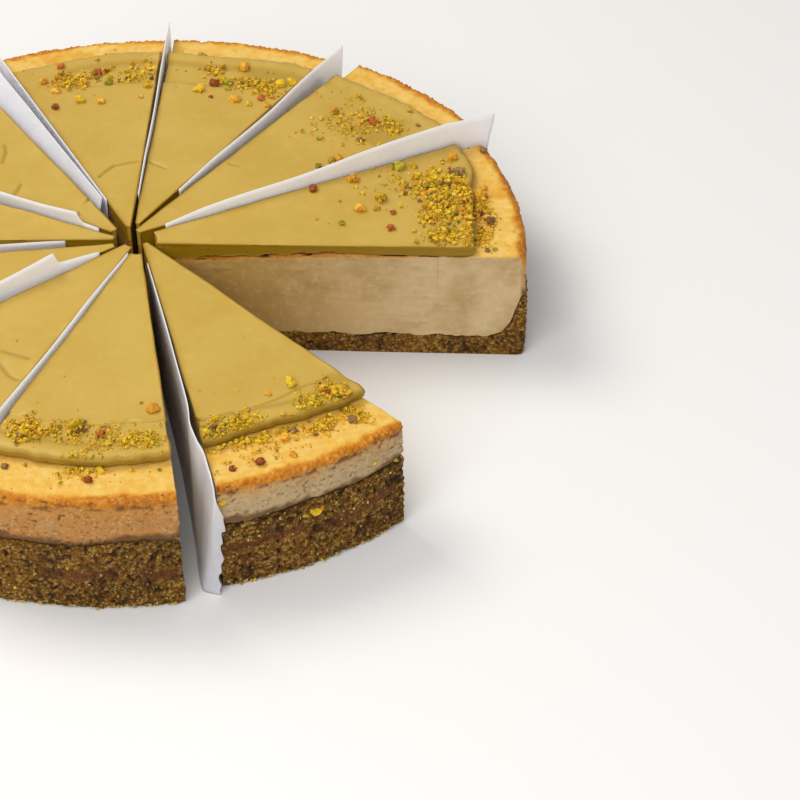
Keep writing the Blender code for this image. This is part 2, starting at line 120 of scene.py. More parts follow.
@dataclass
class Sector:
    """The room of one slice between two cuts, and how its nominal places lie in plan."""
    name: str
    start: Cut
    end: Cut
    tip: float
    reach: tuple[float, float]
    height: float
    wall: float
    rim_round: float = 2.0
    open_start: bool = False
    open_end: bool = False
    toast: float = 0.5
    apex: Vector = field(init=False)
    first_turn: float = field(init=False)
    opening: float = field(init=False)
    lengths: tuple[float, float] = field(init=False)

    def __post_init__(self) -> None:
        """Work out where the cuts meet, and the angle and lengths between them."""
        across = self.start.along().cross(self.end.along())
        run = (self.end.point(0) - self.start.point(0)).cross(self.end.along()) / across
        self.apex = self.start.point(run)
        first = self.start.corner(self.reach[0]) - self.apex
        last = self.end.corner(self.reach[1]) - self.apex
        self.first_turn = math.atan2(first.y, first.x)
        self.opening = math.atan2(first.cross(last), first.dot(last))
        self.lengths = (first.length, last.length)

    def run(self, radius: float) -> float:
        """Distance from the apex, midway between the cuts, at a nominal radius."""
        middle = sum(self.lengths) / 2
        return self.tip + (middle - self.tip) * radius / TIN.radius

    def nominal(self, run: np.ndarray) -> np.ndarray:
        """Nominal radius at a distance from the apex: run's inverse."""
        middle = sum(self.lengths) / 2
        return (run - self.tip) / (middle - self.tip) * TIN.radius

    def place(self, radius: np.ndarray, share: np.ndarray) -> np.ndarray:
        """Plan points, from the cake's middle.

        Args:
            radius: nominal radii, from 0 to the tin's.
            share: shares of the way from the start to the end cut.

        Returns:
            An array of points with x and y.
        """
        turn = self.first_turn + self.opening * share
        length = self.lengths[0] + (self.lengths[1] - self.lengths[0]) * share
        run = self.tip + (length - self.tip) * radius / TIN.radius
        return np.column_stack((self.apex.x + np.cos(turn) * run, self.apex.y + np.sin(turn) * run))

    def cream_top(self) -> float:
        """Height of the cream's top near its edge."""
        return self.height - TIN.rim_stand + TIN.cream_thick

    def dish(self, radius: float) -> float:
        """Height of the filling's top under the cream, sunk a little towards the middle."""
        share = min(radius / TIN.dish_radius, 1.0)
        return self.height - TIN.rim_stand - TIN.centre_dish * (1.0 - share)


SECTORS = [
    Sector("slice_01", Cut(-2.0, -2.9), Cut(27.2, 0.0), 13.4, (129.3, 132.0), 41.0, 25.0,
           rim_round=4.0, open_start=True),
    Sector("slice_02", Cut(27.5, 1.8), Cut(56.2, 2.2), 4.5, (134.5, 135.0), 41.0, 24.0, toast=0.6),
    Sector("slice_03", Cut(60.3, 3.0), Cut(88.6, 0.2), 3.0, (133.0, 132.0), 40.8, 26.0, toast=0.4),
    Sector("slice_04", Cut(89.6, 1.4), Cut(117.8, -0.4), 3.0, (131.0, 131.0), 41.2, 23.0, toast=0.7),
    Sector("slice_05", Cut(123.4, 2.2), Cut(150.8, 0.9), 5.0, (131.0, 130.0), 41.2, 26.0),
    Sector("slice_06", Cut(155.0, 1.9), Cut(181.0, 0.9), 4.0, (130.0, 129.0), 41.0, 24.0, toast=0.3),
    Sector("slice_07", Cut(188.2, 2.3), Cut(216.5, 0.8), 4.0, (129.0, 129.0), 41.0, 25.0, toast=0.6),
    Sector("slice_08", Cut(221.6, 1.6), Cut(249.4, 2.2), 6.0, (128.3, 128.0), 41.4, 24.0, toast=0.8),
    Sector("slice_09", Cut(250.7, 3.6), Cut(280.0, 1.9), 7.0, (127.8, 127.9), 42.0, 24.0, toast=1.0),
    Sector("slice_10", Cut(285.0, 2.8), Cut(313.2, 2.9), 3.0, (124.2, 126.5), 39.6, 26.0,
           open_end=True, toast=-0.1),
]


# Seeded patterns for relief

def lattice(cells: np.ndarray, salt: int) -> np.ndarray:
    """Random number for each whole-number cell.

    Args:
        cells: whole numbers, three to a row.
        salt: tells one pattern from another.

    Returns:
        Numbers from 0 to 1, the same for the same cell and salt.
    """
    mixed = cells[..., 0] * 73856093 ^ cells[..., 1] * 19349663 ^ cells[..., 2] * 83492791
    mixed = (mixed ^ (salt * 2654435761)) & 0xFFFFFFFF
    mixed = ((mixed ^ (mixed >> 15)) * 2246822519) & 0xFFFFFFFF
    mixed = ((mixed ^ (mixed >> 13)) * 3266489917) & 0xFFFFFFFF
    return (mixed ^ (mixed >> 16)) / 0xFFFFFFFF


def ripple(spots: np.ndarray, size: float, salt: int = 0) -> np.ndarray:
    """Smooth random relief.

    Args:
        spots: points in millimetres, three to a row.
        size: distance between a hill and the next, in millimetres.
        salt: tells one pattern from another.

    Returns:
        Heights from -1 to 1.
    """
    scaled = spots / size
    base = np.floor(scaled).astype(np.int64)
    part = scaled - base
    part = part * part * (3.0 - 2.0 * part)
    total = np.zeros(len(spots))
    for corner in itertools.product((0, 1), repeat=3):
        weight = np.prod(np.where(corner, part, 1.0 - part), axis=1)
        total += weight * lattice(base + np.array(corner), salt)
    return total * 2.0 - 1.0


def grains(spots: np.ndarray, size: float, salt: int = 0) -> tuple[np.ndarray, np.ndarray]:
    """Packed grains of about one size.

    Args:
        spots: points in millimetres, three to a row.
        size: distance between grains in millimetres.
        salt: tells one pattern from another.

    Returns:
        The distance to the nearest grain's middle, as a share of the size, and that grain's own
        random number from 0 to 1.
    """
    scaled = spots / size
    base = np.floor(scaled).astype(np.int64)
    nearest = np.full(len(spots), 9.0)
    number = np.zeros(len(spots))
    for step in itertools.product((-1, 0, 1), repeat=3):
        cell = base + np.array(step)
        middle = cell + np.column_stack([lattice(cell, salt + axis) for axis in (1, 2, 3)])
        distance = np.linalg.norm(middle - scaled, axis=1)
        closer = distance < nearest
        nearest = np.where(closer, distance, nearest)
        number = np.where(closer, lattice(cell, salt + 4), number)
    return nearest, number


def smooth_step(value: np.ndarray, low: float, high: float) -> np.ndarray:
    """Share from 0 at low to 1 at high, eased at both ends."""
    share = np.clip((value - low) / (high - low), 0.0, 1.0)
    return share * share * (3.0 - 2.0 * share)


def hump(value: np.ndarray, middle: float, width: float) -> np.ndarray:
    """Bell that is 1 at the middle and falls off to both sides."""
    return np.exp(-((value - middle) / width) ** 2)


# Finishes

def linear(colour: str) -> tuple[float, float, float, float]:
    """Turn an sRGB hex value such as #C8A855 into linear red, green, blue and alpha."""
    parts = [int(colour[place:place + 2], 16) / 255 for place in (1, 3, 5)]
    lit = [part / 12.92 if part <= 0.04045 else ((part + 0.055) / 1.055) ** 2.4 for part in parts]
    return (lit[0], lit[1], lit[2], 1.0)


def per_mm(size: float) -> float:
    """Texture scale on coordinates in metres for a pattern of a size in millimetres."""
    return 1.0 / (size * MM)


Socket = bpy.types.NodeSocket


@dataclass
class Nodes:
    """A material's node tree, with the steps that its finish is made of."""
    tree: bpy.types.NodeTree

    def __post_init__(self) -> None:
        """Start afresh with a shader, an output and the object's own coordinates."""
        self.tree.nodes.clear()
        self.shader = self.add("ShaderNodeBsdfPrincipled")
        self.add("ShaderNodeOutputMaterial", {"Surface": self.shader.outputs["BSDF"]})
        self.spot = self.add("ShaderNodeTexCoord").outputs["Object"]

    def add(self, kind: str, values: Optional[dict] = None) -> bpy.types.Node:
        """Add one node with its settings and links.

        Args:
            kind: Blender's name for the kind of node.
            values: by socket name or number, or by property name: a socket to link, a hex colour,
                a plain value, or a ramp's stops.

        Returns:
            The new node.
        """
        made = self.tree.nodes.new(kind)
        for name, value in (values or {}).items():
            if isinstance(value, Socket):
                self.tree.links.new(value, made.inputs[name])
            elif name == "stops":
                while len(made.color_ramp.elements) < len(value):
                    made.color_ramp.elements.new(0.5)
                for element, (position, colour) in zip(made.color_ramp.elements, value):
                    element.position = position
                    element.color = linear(colour)
            elif isinstance(name, int) or name in made.inputs:
                made.inputs[name].default_value = linear(value) if isinstance(value, str) else value
            else:
                setattr(made, name, value)
        return made

    def window(self, value: Socket, low: float, high: float, most: float = 1.0) -> Socket:
        """Stretch a value so that low gives 0 and high gives most, held between them."""
        values = {"Value": value, "From Min": low, "From Max": high, "To Max": most}
        return self.add("ShaderNodeMapRange", values).outputs["Result"]

    def cloud(self, size: float, detail: float = 3.0, low: float = 0.35, high: float = 0.65,
              most: float = 1.0) -> Socket:
        """Cloudy pattern of a size in millimetres, stretched to run from 0 to most."""
        noise = self.add("ShaderNodeTexNoise",
                         {"Scale": per_mm(size), "Detail": detail, "Vector": self.spot})
        return self.window(noise.outputs["Fac"], low, high, most)

    def lots(self, size: float) -> tuple[Socket, Socket, Socket]:
        """Packed cells of a size in millimetres.

        Args:
            size: the distance between cells.

        Returns:
            Two random numbers for each cell, and the distance to its middle.
        """
        cells = self.add("ShaderNodeTexVoronoi", {"Scale": per_mm(size), "Vector": self.spot})
        parts = self.add("ShaderNodeSeparateColor", {"Color": cells.outputs["Color"]})
        return parts.outputs[0], parts.outputs[1], cells.outputs["Distance"]

    def join(self, kind: str, first, last, held: bool = False) -> Socket:
        """Add or multiply two values, each a number or a socket."""
        values = {"operation": kind, "use_clamp": held, 0: first, 1: last}
        return self.add("ShaderNodeMath", values).outputs[0]

    def ramp(self, share: Socket, stops: Sequence[tuple[float, str]]) -> Socket:
        """Colour read off a row of positions and hex colours."""
        return self.add("ShaderNodeValToRGB", {"stops": stops, "Fac": share}).outputs["Color"]

    def carried(self, name: str) -> Socket:
        """Value that a piece's mesh carries at each of its points."""
        return self.add("ShaderNodeAttribute", {"attribute_name": name}).outputs["Fac"]

    def layers(self, colour, *tints: tuple) -> Socket:
        """Lay tints over a colour, one after the other.

        Args:
            colour: the lowest colour, as a hex value or a socket.
            tints: pairs of a share, as a number or a socket, and a colour.

        Returns:
            The socket with the mixed colour.
        """
        for share, tint in tints:
            values = {"data_type": "RGBA", 0: share, 6: colour, 7: tint}
            colour = self.add("ShaderNodeMix", values).outputs[2]
        return colour

    def paint(self, colour: Socket, roughness: float, shine: float) -> None:
        """Give the surface its colour, its roughness and the strength of its shine."""
        self.tree.links.new(colour, self.shader.inputs["Base Color"])
        self.shader.inputs["Roughness"].default_value = roughness
        self.shader.inputs["Specular IOR Level"].default_value = shine

    def scatter(self, weight: float, radius: tuple[float, float, float], depth: float) -> None:
        """Let light in under the surface, to a depth in millimetres."""
        self.shader.inputs["Subsurface Weight"].default_value = weight
        self.shader.inputs["Subsurface Radius"].default_value = radius
        self.shader.inputs["Subsurface Scale"].default_value = depth * MM

    def rough(self, height: Socket, strength: float, depth: float = 0.2) -> None:
        """Fine relief, too small for the mesh, with its depth in millimetres."""
        bump = self.add("ShaderNodeBump",
                        {"Strength": strength, "Distance": depth * MM, "Height": height})
        self.tree.links.new(bump.outputs["Normal"], self.shader.inputs["Normal"])


@dataclass(frozen=True)
class Finish:
    """A named surface. Each kind of surface fills in its own nodes."""
    name: str

    def make(self) -> bpy.types.Material:
        """Make the Blender material."""
        made = bpy.data.materials.new(self.name)
        made.use_nodes = True
        self.dress(Nodes(made.node_tree))
        return made

    def dress(self, nodes: Nodes) -> None:
        """Fill in the surface's own nodes."""
        raise NotImplementedError


@dataclass(frozen=True)
class PressedCrumb(Finish):
    """Biscuit and pistachio crumb, pressed and baked: dry, matt, each grain of its own colour."""
    grain: float = 0.75
    # Nearly black, painted shade for the deepest pits.
    pit_shade: str = "#241406"
    dark: str = "#5A3612"
    brown: str = "#7C4C12"
    amber: str = "#986218"
    olive: str = "#7C6416"
    tan: str = "#B0843C"
    straw: str = "#CCA458"
    smear: str = "#6E3A1A"
    nut: str = "#A88E20"

    def dress(self, nodes: Nodes) -> None:
        """Grain by grain colour with painted shade in the fine relief's hollows, nearly black painted
        shade in the pits, and a smooth browner band in places.
        """
        lot, _, _ = nodes.lots(self.grain)
        grain = nodes.ramp(lot, ((0.0, self.dark), (0.2, self.brown), (0.42, self.amber),
                                 (0.6, self.olive), (0.78, self.tan), (0.97, self.straw)))
        fine = nodes.cloud(0.6, 4.0, 0.3, 0.7)
        lot, _, distance = nodes.lots(2.4)
        nut = nodes.join("MULTIPLY", nodes.window(lot, 0.88, 0.92),
                         nodes.window(distance, 0.34, 0.22))
        # Painted shade: the dark colour shows where the fine relief, which also makes the bump, is low,
        # and the nearly black colour where the crumb is pitted deep.
        colour = nodes.layers(
            self.dark, (fine, grain), (0.6, grain),
            (nodes.cloud(9.0, 3.0, 0.4, 0.7, 0.25), self.brown), (nut, self.nut),
            (nodes.window(nodes.carried("smear"), 0.1, 0.9, 0.8), self.smear),
            (nodes.window(nodes.carried("deep"), 0.0, 1.0, 0.8), self.pit_shade))
        nodes.paint(colour, 0.85, 0.25)
        nodes.rough(fine, 1.0, 0.45)


@dataclass(frozen=True)
class BakedCheese(Finish):
    """Baked cream cheese: pale and close at a cut, golden where its rim browned in the oven."""
    inside: str = "#CDB183"
    # Painted shade near the cake's middle, warmed by light bounced off the cream.
    inside_tip_shade: str = "#B9934E"
    inside_shade: str = "#A07C42"
    inside_light: str = "#E9D6B4"
    rim_pale: str = "#E9C267"
    rim_gold: str = "#DFAA3C"
    rim_orange: str = "#C97A12"
    rim_brown: str = "#A8620F"
    side_grey: str = "#B89E74"
    side_warm: str = "#B37D3E"
    side_pale: str = "#DCC08A"
    side_top: str = "#CB8630"
    # Dark specks, and painted shade with some crumb colour near the crust.
    speck_and_foot_shade: str = "#603A14"
    # Painted shade for pores, pits and dents, as deep as they sink.
    pore_shade: str = "#5E3A14"

    def dress(self, nodes: Nodes) -> None:
        """Cut face, crumbed side and browned rim, told apart by the mesh's own values."""
        colour = nodes.layers(
            self.cut_face(nodes), (nodes.carried("side"), self.outer_side(nodes)),
            (nodes.carried("rim"), self.baked_skin(nodes)),
            # Painted shade in sunken places.
            (nodes.window(nodes.carried("deep"), 0.0, 1.0, 0.8), self.pore_shade))
        nodes.paint(colour, 0.55, 0.25)
        nodes.scatter(0.08, (1.0, 0.7, 0.4), 1.5)
        nodes.rough(nodes.cloud(0.8, 5.0, 0.3, 0.7), 0.4)

    def cut_face(self, nodes: Nodes) -> Socket:
        """Pale cheese, darker and yellower near the cake's middle as painted shade, dragged along by the
        knife.
        """
        return nodes.layers(
            self.inside_tip_shade, (nodes.carried("run"), self.inside),
            (nodes.window(nodes.carried("streak"), 0.3, 1.1, 0.35), self.inside_shade),
            (nodes.cloud(13.0, 5.0, 0.45, 0.68, 0.55), self.inside_shade),
            (nodes.cloud(2.2, 4.0, 0.5, 0.8, 0.25), self.inside_light))

    def outer_side(self, nodes: Nodes) -> Socket:
        """Side that baked against the tin: grey-beige to toasted with dark specks, and darker towards
        the crust, partly crumb colour and partly painted shade.
        """
        warmth = nodes.join("ADD", nodes.cloud(8.0, most=0.5), nodes.carried("toast"))
        lot, other, _ = nodes.lots(0.8)
        up = nodes.carried("up")
        return nodes.layers(
            self.side_grey, (nodes.window(warmth, 0.2, 1.25), self.side_warm),
            (nodes.window(lot, 0.72, 0.95, 0.45), self.speck_and_foot_shade),
            (nodes.window(other, 0.75, 0.95, 0.25), self.side_pale),
            (nodes.window(up, 0.62, 1.0, 0.4), self.side_top),
            # Darker towards the crust: painted shade under the filling's bulge, with some crumb colour.
            (nodes.window(up, 0.2, 0.04, 0.85), self.speck_and_foot_shade))

    def baked_skin(self, nodes: Nodes) -> Socket:
        """Skin of the rim: pale gold with mottles, orange to brown at its lip."""
        bake = nodes.carried("bake")
        browned = nodes.join("ADD", bake, nodes.cloud(2.6, 5.0, 0.3, 0.75, 0.32))
        browned = nodes.join("ADD", browned, -0.16, held=True)
        colour = nodes.ramp(browned, ((0.0, self.rim_pale), (0.3, self.rim_gold),
                                      (0.68, self.rim_orange), (1.0, self.rim_brown)))
        lot, other, _ = nodes.lots(0.9)
        crumbly = nodes.window(bake, 0.3, 0.7)
        light = nodes.join("MULTIPLY", nodes.window(lot, 0.6, 0.95, 0.4), crumbly)
        dark = nodes.join("MULTIPLY", nodes.window(other, 0.75, 0.95, 0.35), crumbly)
        return nodes.layers(colour, (light, self.rim_gold), (dark, self.rim_brown))


@dataclass(frozen=True)
class SetCream(Finish):
    """Pistachio cream, poured and set: smooth, satin, a deeper gold with painted shade at its cut and
    rolled edges.
    """
    top: str = "#C7A54B"
    top_deep: str = "#C09D41"
    # Deeper gold and painted shade for the cut sides and rolled edge.
    edge: str = "#937007"
    # Painted shade in the spatula's dents and along the ledge's step.
    mark: str = "#94710F"
    scuff: str = "#D2B764"

    def dress(self, nodes: Nodes) -> None:
        """Nearly even colour with faint clouds, and painted shade in the spatula's dents and at its
        ledge.
        """
        colour = nodes.layers(
            self.top_deep, (nodes.cloud(26.0, 6.0), self.top),
            (nodes.cloud(4.5, 8.0, 0.52, 0.8, 0.3), self.scuff),
            (nodes.carried("mark"), self.mark), (nodes.carried("edge"), self.edge))
        nodes.paint(colour, 0.45, 0.28)
        nodes.rough(nodes.cloud(1.4, 3.0, 0.3, 0.7), 0.12)


@dataclass(frozen=True)
class BakingPaper(Finish):
    """Silicone-coated baking paper: cool white, smooth, and a little light comes through."""
    sheet: str = "#F5F5FF"
    fibre: str = "#EDEEFA"

    def dress(self, nodes: Nodes) -> None:
        """Cloudy fibres, with light scattered inside the sheet."""
        nodes.paint(nodes.layers(self.fibre, (nodes.cloud(6.0, 5.0), self.sheet)), 0.5, 0.3)
        nodes.scatter(0.7, (1.0, 1.0, 1.0), 4.0)
        nodes.rough(nodes.cloud(2.2, 3.0, 0.3, 0.7), 0.1)


@dataclass(frozen=True)
class NutCrumb(Finish):
    """Chopped nut or biscuit: broken, dry and uneven, each crumb a little unlike the next."""
    pale: str
    body: str
    deep: str

    def dress(self, nodes: Nodes) -> None:
        """Three shades of one colour: some from crumb to crumb, and some on one crumb."""
        own = nodes.join("MULTIPLY", nodes.carried("tone"), 0.6)
        share = nodes.join("ADD", own, nodes.cloud(1.3, 3.0, 0.3, 0.7, 0.4))
        colour = nodes.ramp(share, ((0.1, self.deep), (0.45, self.body), (0.9, self.pale)))
        nodes.paint(colour, 0.55, 0.3)
        nodes.scatter(0.15, (1.0, 0.7, 0.2), 0.8)
        nodes.rough(nodes.cloud(0.5, 3.0, 0.3, 0.7), 0.4)


class Slot(Enum):
    """The record's material slots."""
    CRUST = "crust"
    FILLING = "filling"
    TOPPING = "topping"
    PAPER = "paper"


# Pieces

def place(name: str, data: bpy.types.ID) -> bpy.types.Object:
    """Put a new object into the scene."""
    made = bpy.data.objects.new(name, data)
    bpy.context.scene.collection.objects.link(made)
    return made


def to_mesh(work: bmesh.types.BMesh, name: str) -> bpy.types.Mesh:
    """Turn a shape into a mesh with a name, and let go of the shape."""
    mesh = bpy.data.meshes.new(name)
    work.to_mesh(mesh)
    work.free()
    return mesh


def settle(name: str, mesh: bpy.types.Mesh, finish: bpy.types.Material,
           node: Optional[str] = None) -> bpy.types.Object:
    """Make a mesh in metres a piece of the cake.

    Args:
        name: the piece's name.
        mesh: its mesh, in the frame's own place.
        finish: its material.
        node: the solid that it replaces, if it replaces one.

    Returns:
        The piece.
    """
    made = place(name, mesh)
    mesh.materials.append(finish)
    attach(made, "root")
    if node:
        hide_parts(node)
        low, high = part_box(node)
        spots = np.array([vert.co for vert in mesh.vertices])
        over = max(*(np.array(low) - spots.min(0)), *(spots.max(0) - np.array(high))) / MM
        log.info("%s: %d faces, %.2f mm past its solid", name, len(mesh.polygons), over)
    else:
        log.info("%s: %d faces", name, len(mesh.polygons))
    return made


def face_outwards(work: bmesh.types.BMesh) -> None:
    """Point every face of a closed mesh out of it."""
    bmesh.ops.recalc_face_normals(work, faces=work.faces)
    if work.calc_volume(signed=True) < 0.0:
        bmesh.ops.reverse_faces(work, faces=work.faces)


def soften(points: Sequence[tuple[float, float, float]], steps: int = 4) -> list[tuple[float, float]]:
    """Round the corners of an outline.

    Args:
        points: a nominal radius, a height and how far from the corner its rounding starts, which is
            0 at a sharp corner.
        steps: how many points make a rounded corner.

    Returns:
        The outline's points as a nominal radius and a height.
    """
    made = []
    for place, (radius, level, reach) in enumerate(points):
        corner = Vector((radius, level))
        if reach == 0.0:
            made.append((radius, level))
            continue
        before = Vector(points[place - 1][:2]) - corner
        after = Vector(points[(place + 1) % len(points)][:2]) - corner
        first = corner + before.normalized() * min(reach, before.length * 0.45)
        last = corner + after.normalized() * min(reach, after.length * 0.45)
        for step in range(steps):
            share = step / (steps - 1)
            spot = first.lerp(corner, share).lerp(corner.lerp(last, share), share)
            made.append((spot.x, spot.y))
    return made


@dataclass
class Points:
    """Places on a slice's body, one entry of each array to a point."""
    radius: np.ndarray
    share: np.ndarray
    level: np.ndarray
    inset: np.ndarray
    spot: np.ndarray

    def ripple(self, size: float, salt: int) -> np.ndarray:
        """Smooth random relief at the points."""
        return ripple(self.spot, size, salt)

    def patches(self, size: float, salt: int, low: float, high: float) -> np.ndarray:
        """Random patches: share 0 where the relief is under low, and 1 where it is over high."""
        return smooth_step(self.ripple(size, salt), low, high)

    def falling(self, size: float, salt: int) -> np.ndarray:
        """Smooth random relief that runs straight down."""
        return ripple(np.column_stack((self.spot[:, :2], np.zeros(len(self.spot)))), size, salt)


@dataclass
class Wedge:
    """A closed body between a slice's two cuts, made by turning its section."""
    sector: Sector
    cell: float = 5.0
    cut_round: float = 0.5

    def profile(self) -> list[tuple[float, float]]:
        """Section as nominal radii and heights."""
        raise NotImplementedError

    def grain(self, at: Points) -> np.ndarray:
        """Longest edge wanted at each point."""
        raise NotImplementedError

    def shape(self, at: Points) -> tuple[np.ndarray, np.ndarray]:
        """The solid's own waves, as new radii and heights."""
        return at.radius, at.level

    def relief(self, at: Points) -> np.ndarray:
        """How far each point moves out along its normal."""
        raise NotImplementedError

    def values(self, at: Points, relief: np.ndarray) -> dict[str, np.ndarray]:
        """Values that the finish reads off the mesh, by name."""
        raise NotImplementedError

    def opened(self, at: Points) -> np.ndarray:
        """Whether each point is nearer to a cut that faces the open sector than to one in a gap."""
        return np.where(at.share < 0.5, self.sector.open_start, self.sector.open_end)

    def section(self) -> bmesh.types.BMesh:
        """The section as a flat grid of cells, standing on the first cut."""
        work = bmesh.new()
        corners = [work.verts.new((self.sector.run(radius), 0.0, level))
                   for radius, level in self.profile()]
        work.faces.new(corners)
        low = [min(vert.co[axis] for vert in corners) for axis in range(3)]
        high = [max(vert.co[axis] for vert in corners) for axis in range(3)]
        for axis, normal in ((0, (1.0, 0.0, 0.0)), (2, (0.0, 0.0, 1.0))):
            count = round((high[axis] - low[axis]) / self.cell)
            for step in range(1, count):
                spot = [0.0, 0.0, 0.0]
                spot[axis] = low[axis] + (high[axis] - low[axis]) * step / count
                everything = [*work.verts, *work.edges, *work.faces]
                bmesh.ops.bisect_plane(work, geom=everything, dist=1e-4, plane_co=spot,
                                       plane_no=normal)
        bmesh.ops.triangulate(work, faces=[face for face in work.faces if len(face.verts) > 4])
        return work

    def body(self) -> bmesh.types.BMesh:
        """The section turned to the second cut, with its cut edges rounded."""
        work = self.section()
        steps = max(round(self.sector.opening * TIN.radius / self.cell), 4)
        everything = [*work.verts, *work.edges, *work.faces]
        bmesh.ops.spin(work, geom=everything, cent=(0, 0, 0), axis=(0, 0, 1), dvec=(0, 0, 0),
                       angle=self.sector.opening, steps=steps, use_merge=False,
                       use_duplicate=False)
        face_outwards(work)
        ends = [Vector((0.0, -1.0, 0.0)),
                Vector((-math.sin(self.sector.opening), math.cos(self.sector.opening), 0.0))]
        caps = {face for face in work.faces if max(face.normal.dot(way) for way in ends) > 0.999}
        rims = [edge for edge in work.edges
                if sum(face in caps for face in edge.link_faces) == 1]
        bmesh.ops.bevel(work, geom=rims, offset=self.cut_round, offset_type="OFFSET", segments=2,
                        profile=0.5, affect="EDGES", clamp_overlap=True, material=-1)
        return work

    def points(self, turned: np.ndarray) -> Points:
        """Where points of the turned body lie on the slice.

        Args:
            turned: points about the axis that the section is turned on.

        Returns:
            Their places.
        """
        run = np.hypot(turned[:, 0], turned[:, 1])
        turn = np.arctan2(turned[:, 1], turned[:, 0])
        radius, share, level = self.sector.nominal(run), turn / self.sector.opening, turned[:, 2]
        inset = np.minimum(turn, self.sector.opening - turn) * run
        plan = self.sector.place(radius, share)
        return Points(radius, share, level, inset, np.column_stack((plan, level)))

    def refine(self, work: bmesh.types.BMesh) -> None:
        """Split edges until none is longer than its grain."""
        for _ in range(6):
            spots = np.array([vert.co for vert in work.verts])
            work.verts.index_update()
            edges = list(work.edges)
            ends = np.array([[vert.index for vert in edge.verts] for edge in edges])
            first, last = spots[ends[:, 0]], spots[ends[:, 1]]
            length = np.linalg.norm(last - first, axis=1)
            wanted = self.grain(self.points((first + last) / 2.0))
            coarse = [edges[place] for place in np.flatnonzero(length > wanted)]
            if not coarse:
                break
            bmesh.ops.subdivide_edges(work, edges=coarse, cuts=1, use_grid_fill=True)
            odd = [face for face in work.faces if len(face.verts) > 4]
            bmesh.ops.triangulate(work, faces=odd)

    def build(self, part: str, finish: bpy.types.Material, slot: Slot) -> bpy.types.Object:
        """Make the piece that replaces the slice's solid of this part.

        Args:
            part: the last word of the solid's name.
            finish: the piece's material.
            slot: the record's slot for this part; it is not used.

        Returns:
            The piece.
        """
        work = self.body()
        self.refine(work)
        at = self.points(np.array([vert.co for vert in work.verts]))
        radius, level = self.shape(at)
        at.spot = np.column_stack((self.sector.place(radius, at.share), level))
        for vert, spot in zip(work.verts, at.spot):
            vert.co = spot
        work.normal_update()
        normals = np.array([vert.normal for vert in work.verts])
        relief = self.relief(at)
        values = self.values(at, relief)
        moved = at.spot + normals * relief[:, None]
        moved[:, 2] = np.maximum(moved[:, 2], 0.0)
        for vert, spot in zip(work.verts, (moved + np.array([*TIN.middle, 0.0])) * MM):
            vert.co = spot
        node = f"{self.sector.name}_{part}"
        mesh = to_mesh(work, node + "_finished")
        mesh.shade_smooth()
        for name, column in values.items():
            carried = mesh.attributes.new(name, "FLOAT", "POINT")
            carried.data.foreach_set("value", column.astype(np.float32))
        return settle(node + "_finished", mesh, finish, node)


def wall_line(sector: Sector, level: np.ndarray, plan: np.ndarray) -> np.ndarray:
    """Raise and lower the line where the crust's wall meets the filling, alike for both.

    Args:
        sector: the slice.
        level: heights of points.
        plan: their plan places, from the cake's middle.

    Returns:
        The new heights.
    """
    low = sector.wall * 0.5
    high = sector.wall + 1.2
    turn = np.arctan2(plan[:, 1], plan[:, 0])
    swing = np.sin(7.0 * turn) + 0.6 * np.sin(17.0 * turn + 1.0)
    rising = np.clip((level - low) / (high - low), 0.0, 1.0)
    falling = 1.0 - smooth_step(level, high, high + 7.0)
    return level + TIN.wall_swing * swing * rising * falling


def base_line(at: Points, level: np.ndarray) -> np.ndarray:
    """Make the crust's base uneven where it meets the filling, alike for both.

    Args:
        at: points on the slice.
        level: their heights so far.

    Returns:
        The new heights.
    """
    near = hump(at.level, TIN.crust_base, 1.2) * (at.radius < TIN.radius - 12.0)
    return level + near * (0.8 * at.falling(5.0, 71) + 0.5 * at.falling(1.8, 73))


def cream_wave(turn: np.ndarray) -> np.ndarray:
    """How far the cream's edge runs in or out of its usual reach.

    Args:
        turn: headings in radians.

    Returns:
        Distances in millimetres, outwards.
    """
    headings = np.array([heading for heading, _ in CREAM_EDGE] + [CREAM_EDGE[0][0] + 360.0])
    reaches = np.array([reach for _, reach in CREAM_EDGE] + [CREAM_EDGE[0][1]])
    heading = (np.degrees(turn) - headings[0]) % 360.0 + headings[0]
    after = np.clip(np.searchsorted(headings, heading), 1, len(headings) - 1)
    share = (heading - headings[after - 1]) / (headings[after] - headings[after - 1])
    eased = share * share * (3.0 - 2.0 * share)
    return reaches[after - 1] * (1.0 - eased) + reaches[after] * eased - TIN.cream_reach


@dataclass
class BakedLayer(Wedge):
    """A layer that was baked in the tin: fine where it shows, and coarse where it is hidden."""
    fine: float = 0.6
    coarse: float = 6.0
    shell: float = 0.8
    mouth: float = 95.0

    def grain(self, at: Points) -> np.ndarray:
        """Fine at open cuts, and middling at the gaps' mouths."""
        face = at.inset < 0.8
        wanted = np.full(len(at.radius), self.coarse)
        wanted[face & (at.radius > self.mouth)] = 1.4
        wanted[face & self.opened(at)] = 0.7
        return wanted

    def shape(self, at: Points) -> tuple[np.ndarray, np.ndarray]:
        """The uneven wall line and base line, where the crust and the filling meet."""
        return at.radius, base_line(at, wall_line(self.sector, at.level, at.spot))

    def outer(self, at: Points) -> np.ndarray:
        """Share of the outer side."""
        return smooth_step(at.radius, TIN.radius - 2.6, TIN.radius - self.shell)


